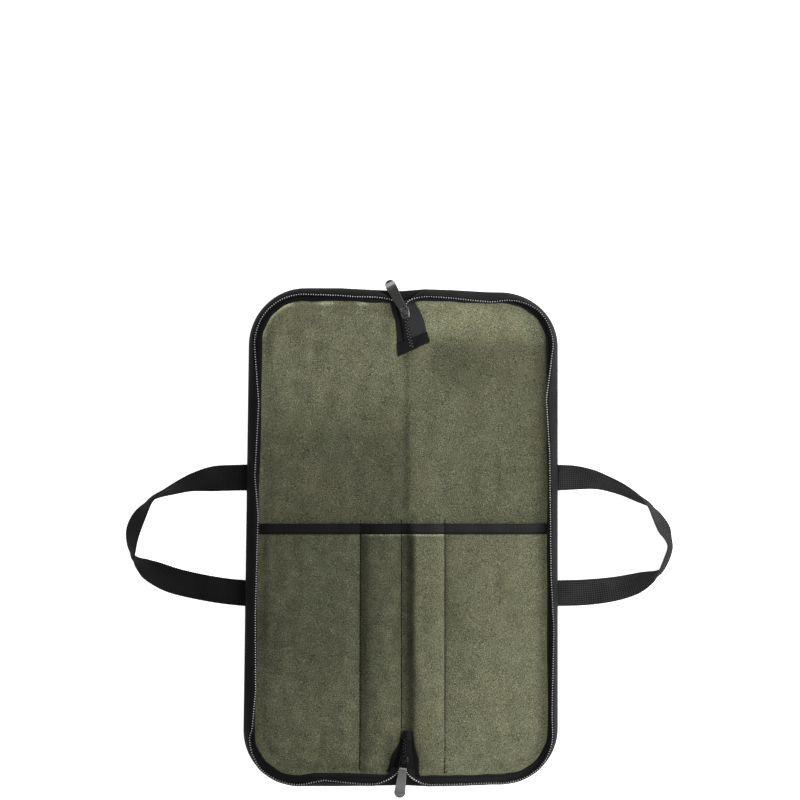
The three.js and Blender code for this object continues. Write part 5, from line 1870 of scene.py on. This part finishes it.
def set_at_end(piece: Piece, zip_end: ZipEnd, z: float, turn: float) -> None:
    """Moves a piece from the origin to a slider's place, in its mesh.

    Args:
        piece: the object, its front towards +Y.
        zip_end: the slider's place.
        z: height that it is raised by.
        turn: degrees that it turns to the left, past the slider's own heading.
    """
    _, _, middle = zip_end.axes()
    spot = FORM.settle(middle[0], middle[1], z)
    heading = math.radians(zip_end.heading + turn) + (0 if zip_end.end is End.TOP else math.pi)
    bpy.ops.object.select_all(action="DESELECT")
    piece.select_set(True)
    bpy.context.view_layer.objects.active = piece
    piece.location = [float(v) * MM for v in spot]
    piece.rotation_euler = (0, 0, heading)
    bpy.ops.object.transform_apply(location=True, rotation=True, scale=True)


def paint_tone(piece: Piece, tone: Callable[[Array], Array]) -> None:
    """Writes how light a piece is at its points.

    Args:
        piece: the object.
        tone: gives a share for each point, from the points in millimetres.
    """
    points = np.array([v.co for v in piece.data.vertices]) / MM
    layer = piece.data.attributes.new(TONE, "FLOAT", "POINT")
    layer.data.foreach_set("value", tone(points).astype(np.float32))


@dataclass(frozen=True)
class Lie:
    """A place on a handle's centre line: how far out and to an end's side, and its lean in degrees."""

    out: float
    side: float
    lean: float


@dataclass
class Handle:
    """A webbing handle: both ends sewn flat under the body, the loop lying beside it half twisted."""

    side: Side
    reach: float
    lies: tuple[Lie, ...]
    tone: float = 1.0
    width: float = 25.4
    thickness: float = 1.6
    spacing: float = 111.2
    centre_y: float = 2.1
    sewn: float = 50.0
    step: float = 1.1
    curve_points: int = 800
    end_points: int = 30
    smoothing: int = 6
    dark_share: float = 0.86
    lit: Ramp = Ramp(-20, 40)
    ribs: int = 12
    rib_height: float = 0.22
    saw: float = 0.35
    cup: float = 3.5
    cup_spread: float = 20.0

    def spline(self, share: Array) -> Array:
        """Points of the loop's centre line.

        Args:
            share: places along the loop, from 0 to 1.

        Returns:
            Out, side and lean of each point.
        """
        knots = np.array([[lie.out, lie.side, lie.lean] for lie in self.lies], float)
        padded = np.concatenate([2 * knots[:1] - knots[1:2], knots, 2 * knots[-1:] - knots[-2:-1]])
        place = share * (len(knots) - 1)
        at = np.minimum(place.astype(int), len(knots) - 2)
        t = (place - at)[:, None]
        p0, p1, p2, p3 = (padded[at + k] for k in range(4))
        m1, m2 = (p2 - p0) / 2, (p3 - p1) / 2
        return ((2 * t ** 3 - 3 * t ** 2 + 1) * p1 + (t ** 3 - 2 * t ** 2 + t) * m1
                + (-2 * t ** 3 + 3 * t ** 2) * p2 + (t ** 3 - t ** 2) * m2)

    def centre_line(self) -> tuple[Array, Array]:
        """Even stations along the whole strap: the points in plan and the leans in degrees."""
        loop = self.spline(np.linspace(0, 1, self.curve_points))
        gap = FORM.gap / self.reach
        sewn = np.linspace(-self.sewn / self.reach, -gap, self.end_points)
        low = np.stack([sewn, 1 + 0 * sewn, 0 * sewn], -1)
        high = np.stack([sewn[::-1], 0 * sewn - 1, 0 * sewn], -1)
        rows = np.concatenate([low, loop, high])
        x = self.side.value * (FORM.width / 2 + rows[:, 0] * self.reach)
        y = self.centre_y + rows[:, 1] * self.spacing / 2
        plan = FORM.settle(x, y, 0 * x)
        run = np.concatenate([[0], np.cumsum(np.linalg.norm(np.diff(plan, axis=0), axis=1))])
        even = np.linspace(0, run[-1], int(run[-1] / self.step))
        points = np.stack([np.interp(even, run, plan[:, k]) for k in range(3)], -1)
        return points, np.maximum(np.interp(even, run, rows[:, 2]), 0)

    def build(self) -> Piece:
        """Makes the strap with its woven ribs and the fine saw of its edges."""
        plan, lean = self.centre_line()
        along = np.gradient(plan, axis=0)
        for _ in range(self.smoothing):
            along[1:-1] = (along[:-2] + 2 * along[1:-1] + along[2:]) / 4
        along /= np.linalg.norm(along, axis=1)[:, None]
        outward = np.stack([along[:, 1], -along[:, 0], 0 * along[:, 0]], -1) * -self.side.value
        turn = np.radians(lean)[:, None]
        up = np.array([[0, 0, 1.0]])
        across = outward * np.cos(turn) + up * np.sin(turn)
        normal = -outward * np.sin(turn) + up * np.cos(turn)
        base = self.width / 2 * np.sin(turn) + self.thickness * np.maximum(0, -np.cos(turn))
        centre = plan + up * base
        cup = self.cup * np.exp(-((lean - 90) / self.cup_spread) ** 2)[:, None]
        saw = self.saw * np.where(np.arange(len(plan)) % 2, 1.0, 0.0)[:, None]
        shares = np.linspace(-1, 1, 2 * self.ribs + 1)
        face = []
        for at, share in enumerate(shares):
            dent = self.rib_height * (at % 2 == 0)
            dent += 0.35 * self.thickness * (abs(share) == 1)
            face.append((share * (self.width / 2 - saw * abs(share)), dent))
        bend = [cup * (1 - share ** 2) for share in shares]
        top = [centre + across * reach + normal * (self.thickness - dent - bow)
               for (reach, dent), bow in zip(face, bend)]
        bottom = [centre + across * reach + normal * (dent - bow) for (reach, dent), bow in zip(face, bend)]
        return sweep(f"handle_strap_{self.side.word}", np.stack(bottom + top[::-1], 1), tone=self.light)

    def light(self, x: Array, y: Array) -> Array:
        """How light the strap is at each place: its tone, which is painted light, a little darker in its
        lower half.
        """
        return self.tone * (self.dark_share + (1 - self.dark_share) * self.lit.over(y)) + 0 * x

    def dress(self, strap: Piece, finishes: Finishes) -> None:
        """Gives the strap its webbing."""
        settle_piece(strap, finishes["webbing"], "roll", [f"handle_{self.side.word}"])


# Painted light: the left strap is painted near-black and the right one lighter, as the light from the right
# falls on them.
LEFT_HANDLE = Handle(Side.LEFT, 116.6, (
    Lie(0.0, 1.0, 0), Lie(0.13, 0.995, 2), Lie(0.251, 0.986, 10), Lie(0.382, 0.953, 35),
    Lie(0.498, 0.894, 53), Lie(0.671, 0.746, 76), Lie(0.761, 0.633, 91), Lie(0.815, 0.535, 104),
    Lie(0.884, 0.339, 122), Lie(0.931, 0.109, 126), Lie(0.943, -0.114, 116), Lie(0.93, -0.29, 102),
    Lie(0.892, -0.44, 74), Lie(0.84, -0.535, 53), Lie(0.775, -0.625, 35), Lie(0.62, -0.766, 11),
    Lie(0.464, -0.853, 2), Lie(0.281, -0.929, 0), Lie(0.13, -0.975, 0), Lie(0.0, -1.0, 0),
), tone=0.19)
RIGHT_HANDLE = Handle(Side.RIGHT, 110.0, (
    Lie(0.0, 1.0, 6), Lie(0.136, 1.005, 20), Lie(0.283, 0.983, 39), Lie(0.408, 0.923, 53),
    Lie(0.571, 0.795, 65), Lie(0.717, 0.624, 78), Lie(0.792, 0.505, 93), Lie(0.855, 0.368, 110),
    Lie(0.927, 0.132, 120), Lie(0.965, -0.042, 107), Lie(0.975, -0.2, 99), Lie(0.95, -0.4, 102),
    Lie(0.892, -0.59, 93), Lie(0.815, -0.715, 66), Lie(0.735, -0.793, 47), Lie(0.651, -0.857, 35),
    Lie(0.517, -0.922, 24), Lie(0.333, -0.972, 12), Lie(0.15, -0.995, 3), Lie(0.0, -1.0, 0),
), tone=1.05)


@dataclass
class Studio:
    """The plain floor, the soft light and the camera straight overhead."""

    camera_at: Point = (-0.0019, 0.1323, 6.0)
    frame_width: float = 0.770
    sensor: float = 36.0
    floor_size: float = 14.0
    floor_colour: str = "f4f4f4"
    floor_glow: float = 0.75
    sky: float = 1.15
    ceiling: float = 0.45
    sky_heights: Pair = (0.35, 0.97)
    key_power: float = 75.0
    key_size: float = 1.6
    key_at: Point = (1.9, 0.25, 1.7)

    def build_camera(self) -> None:
        """Makes the camera at the photograph's angle: straight down, long lens."""
        data = bpy.data.cameras.new("camera")
        data.sensor_width = self.sensor
        data.lens = self.sensor * self.camera_at[2] / self.frame_width
        camera = bpy.data.objects.new("camera", data)
        camera.location = self.camera_at
        bpy.context.scene.collection.objects.link(camera)
        bpy.context.scene.camera = camera

    def build_floor(self) -> None:
        """Makes the plain white floor, lit from below as a light table is, so that shadows stay faint."""
        bpy.ops.object.select_all(action="DESELECT")
        bpy.ops.mesh.primitive_plane_add(size=self.floor_size, location=(0, 0, 0))
        floor = bpy.context.object
        floor.name = "studio_floor"
        material, tree = blank_material("matt_white_board")
        add_shader(tree, {
            "Base Color": srgb(self.floor_colour), "Roughness": 0.9, "Specular IOR Level": 0.0,
            "Emission Color": (1, 1, 1, 1), "Emission Strength": self.floor_glow})
        floor.data.materials.append(material)

    def build_light(self) -> None:
        """Makes the even fill from all round and the soft key light from the right."""
        world = bpy.data.worlds.new("studio_fill")
        world.use_nodes = True
        tree = world.node_tree
        ray = add_node(tree, "ShaderNodeTexCoord").outputs["Generated"]
        height = add_node(tree, "ShaderNodeSeparateXYZ", None, {"Vector": ray}).outputs["Z"]
        level = remap(tree, height, self.sky_heights, (self.sky, self.ceiling))
        tree.links.new(level, tree.nodes["Background"].inputs["Strength"])
        tree.nodes["Background"].inputs["Color"].default_value = (1, 1, 1, 1)
        bpy.context.scene.world = world
        data = bpy.data.lights.new("softbox", "AREA")
        data.shape = "SQUARE"
        data.size = self.key_size
        data.energy = self.key_power
        light = bpy.data.objects.new("softbox", data)
        light.location = self.key_at
        light.rotation_euler = (Vector((0, 0, 0)) - Vector(self.key_at)).to_track_quat("-Z", "Y").to_euler()
        bpy.context.scene.collection.objects.link(light)
        bpy.context.scene.view_settings.view_transform = "Standard"

    def build(self) -> None:
        """Makes the whole studio."""
        self.build_camera()
        self.build_floor()
        self.build_light()


def make_finishes() -> Finishes:
    """Makes every material of the roll, by a short name."""
    canvas = WaxedCanvas("waxed_canvas_outside")
    inside = WaxedCanvas("waxed_canvas_inside")
    binding = WovenTape("grosgrain_polyester_binding", "2d2c2c", "161616", rib=1.2, pick=1.3, rib_share=0.3)
    tape = WovenTape("woven_nylon_zip_tape", "262626", "19191a", rib=2.2, pick=1.4, rib_share=0.5)
    webbing = WovenTape("polypropylene_webbing", "3c3c3d", "0a0a0b", rib=2.1, pick=2.2, rib_share=0.55,
                        relief=0.8)
    # The coil is black nylon: its near-white colour is a painted highlight of the light on the teeth's
    # crests.
    coil = MouldedNylon("nylon_zip_coil", "e6e6e6", "c4c4c6")
    metal = PlatedZinc("zinc_plated_gunmetal", "565655", "383837")
    thread = MouldedNylon("bonded_polyester_thread", "0c0c0d", "050506", roughness=0.6, gloss=0.05)
    return {
        "outer": canvas.build(),
        "inner": inside.build(),
        "binding": binding.build(),
        "tape": tape.build(),
        "webbing": webbing.build(),
        "coil": coil.build(),
        "metal": metal.build(),
        "thread": thread.build(),
    }


def main() -> None:
    """Builds the studio and every piece in order, and reports each one."""
    logging.basicConfig(level=logging.INFO, format="%(message)s")
    Studio().build()
    finishes = make_finishes()
    bindings = Bindings()
    bands = {"edge": bindings.edge(), "pocket": bindings.mouth()}
    bindings.dress(bands, finishes)
    canvases = Canvases()
    canvases.dress(canvases.build(), finishes, bands)
    for zip_half in (LEFT_ZIP, RIGHT_ZIP):
        zip_half.dress(zip_half.build_tape(), zip_half.build_coil(), finishes)
    for handle in (LEFT_HANDLE, RIGHT_HANDLE):
        handle.dress(handle.build(), finishes)
    for tail in (TOP_TAIL, BOTTOM_TAIL):
        tail.build(finishes)
    # Painted light: the bottom slider is painted dark, the bottom pull painted light as a reflection, and the
    # top pull has a painted highlight across its tip.
    Slider(TOP_END).build(finishes)
    Slider(BOTTOM_END, tone=0.25, shine=0.4).build(finishes)
    Pull(TOP_END, tone=1.1, painted_light_along=(1.0, 1.0, 1.0, 1.0, 1.0, 1.6, 8.5, 8.0, 1.2, 0.4)).build(finishes)
    Pull(BOTTOM_END, tone=3.4, tip_width=11.8, rim_side=0.35).build(finishes)
    stitches = Stitches()
    stitches.dress([*stitches.pocket_rows(), stitches.band_row(), *stitches.edge_rows(),
                    *stitches.box_rows()], finishes)


if __name__ == "__main__":
    main()
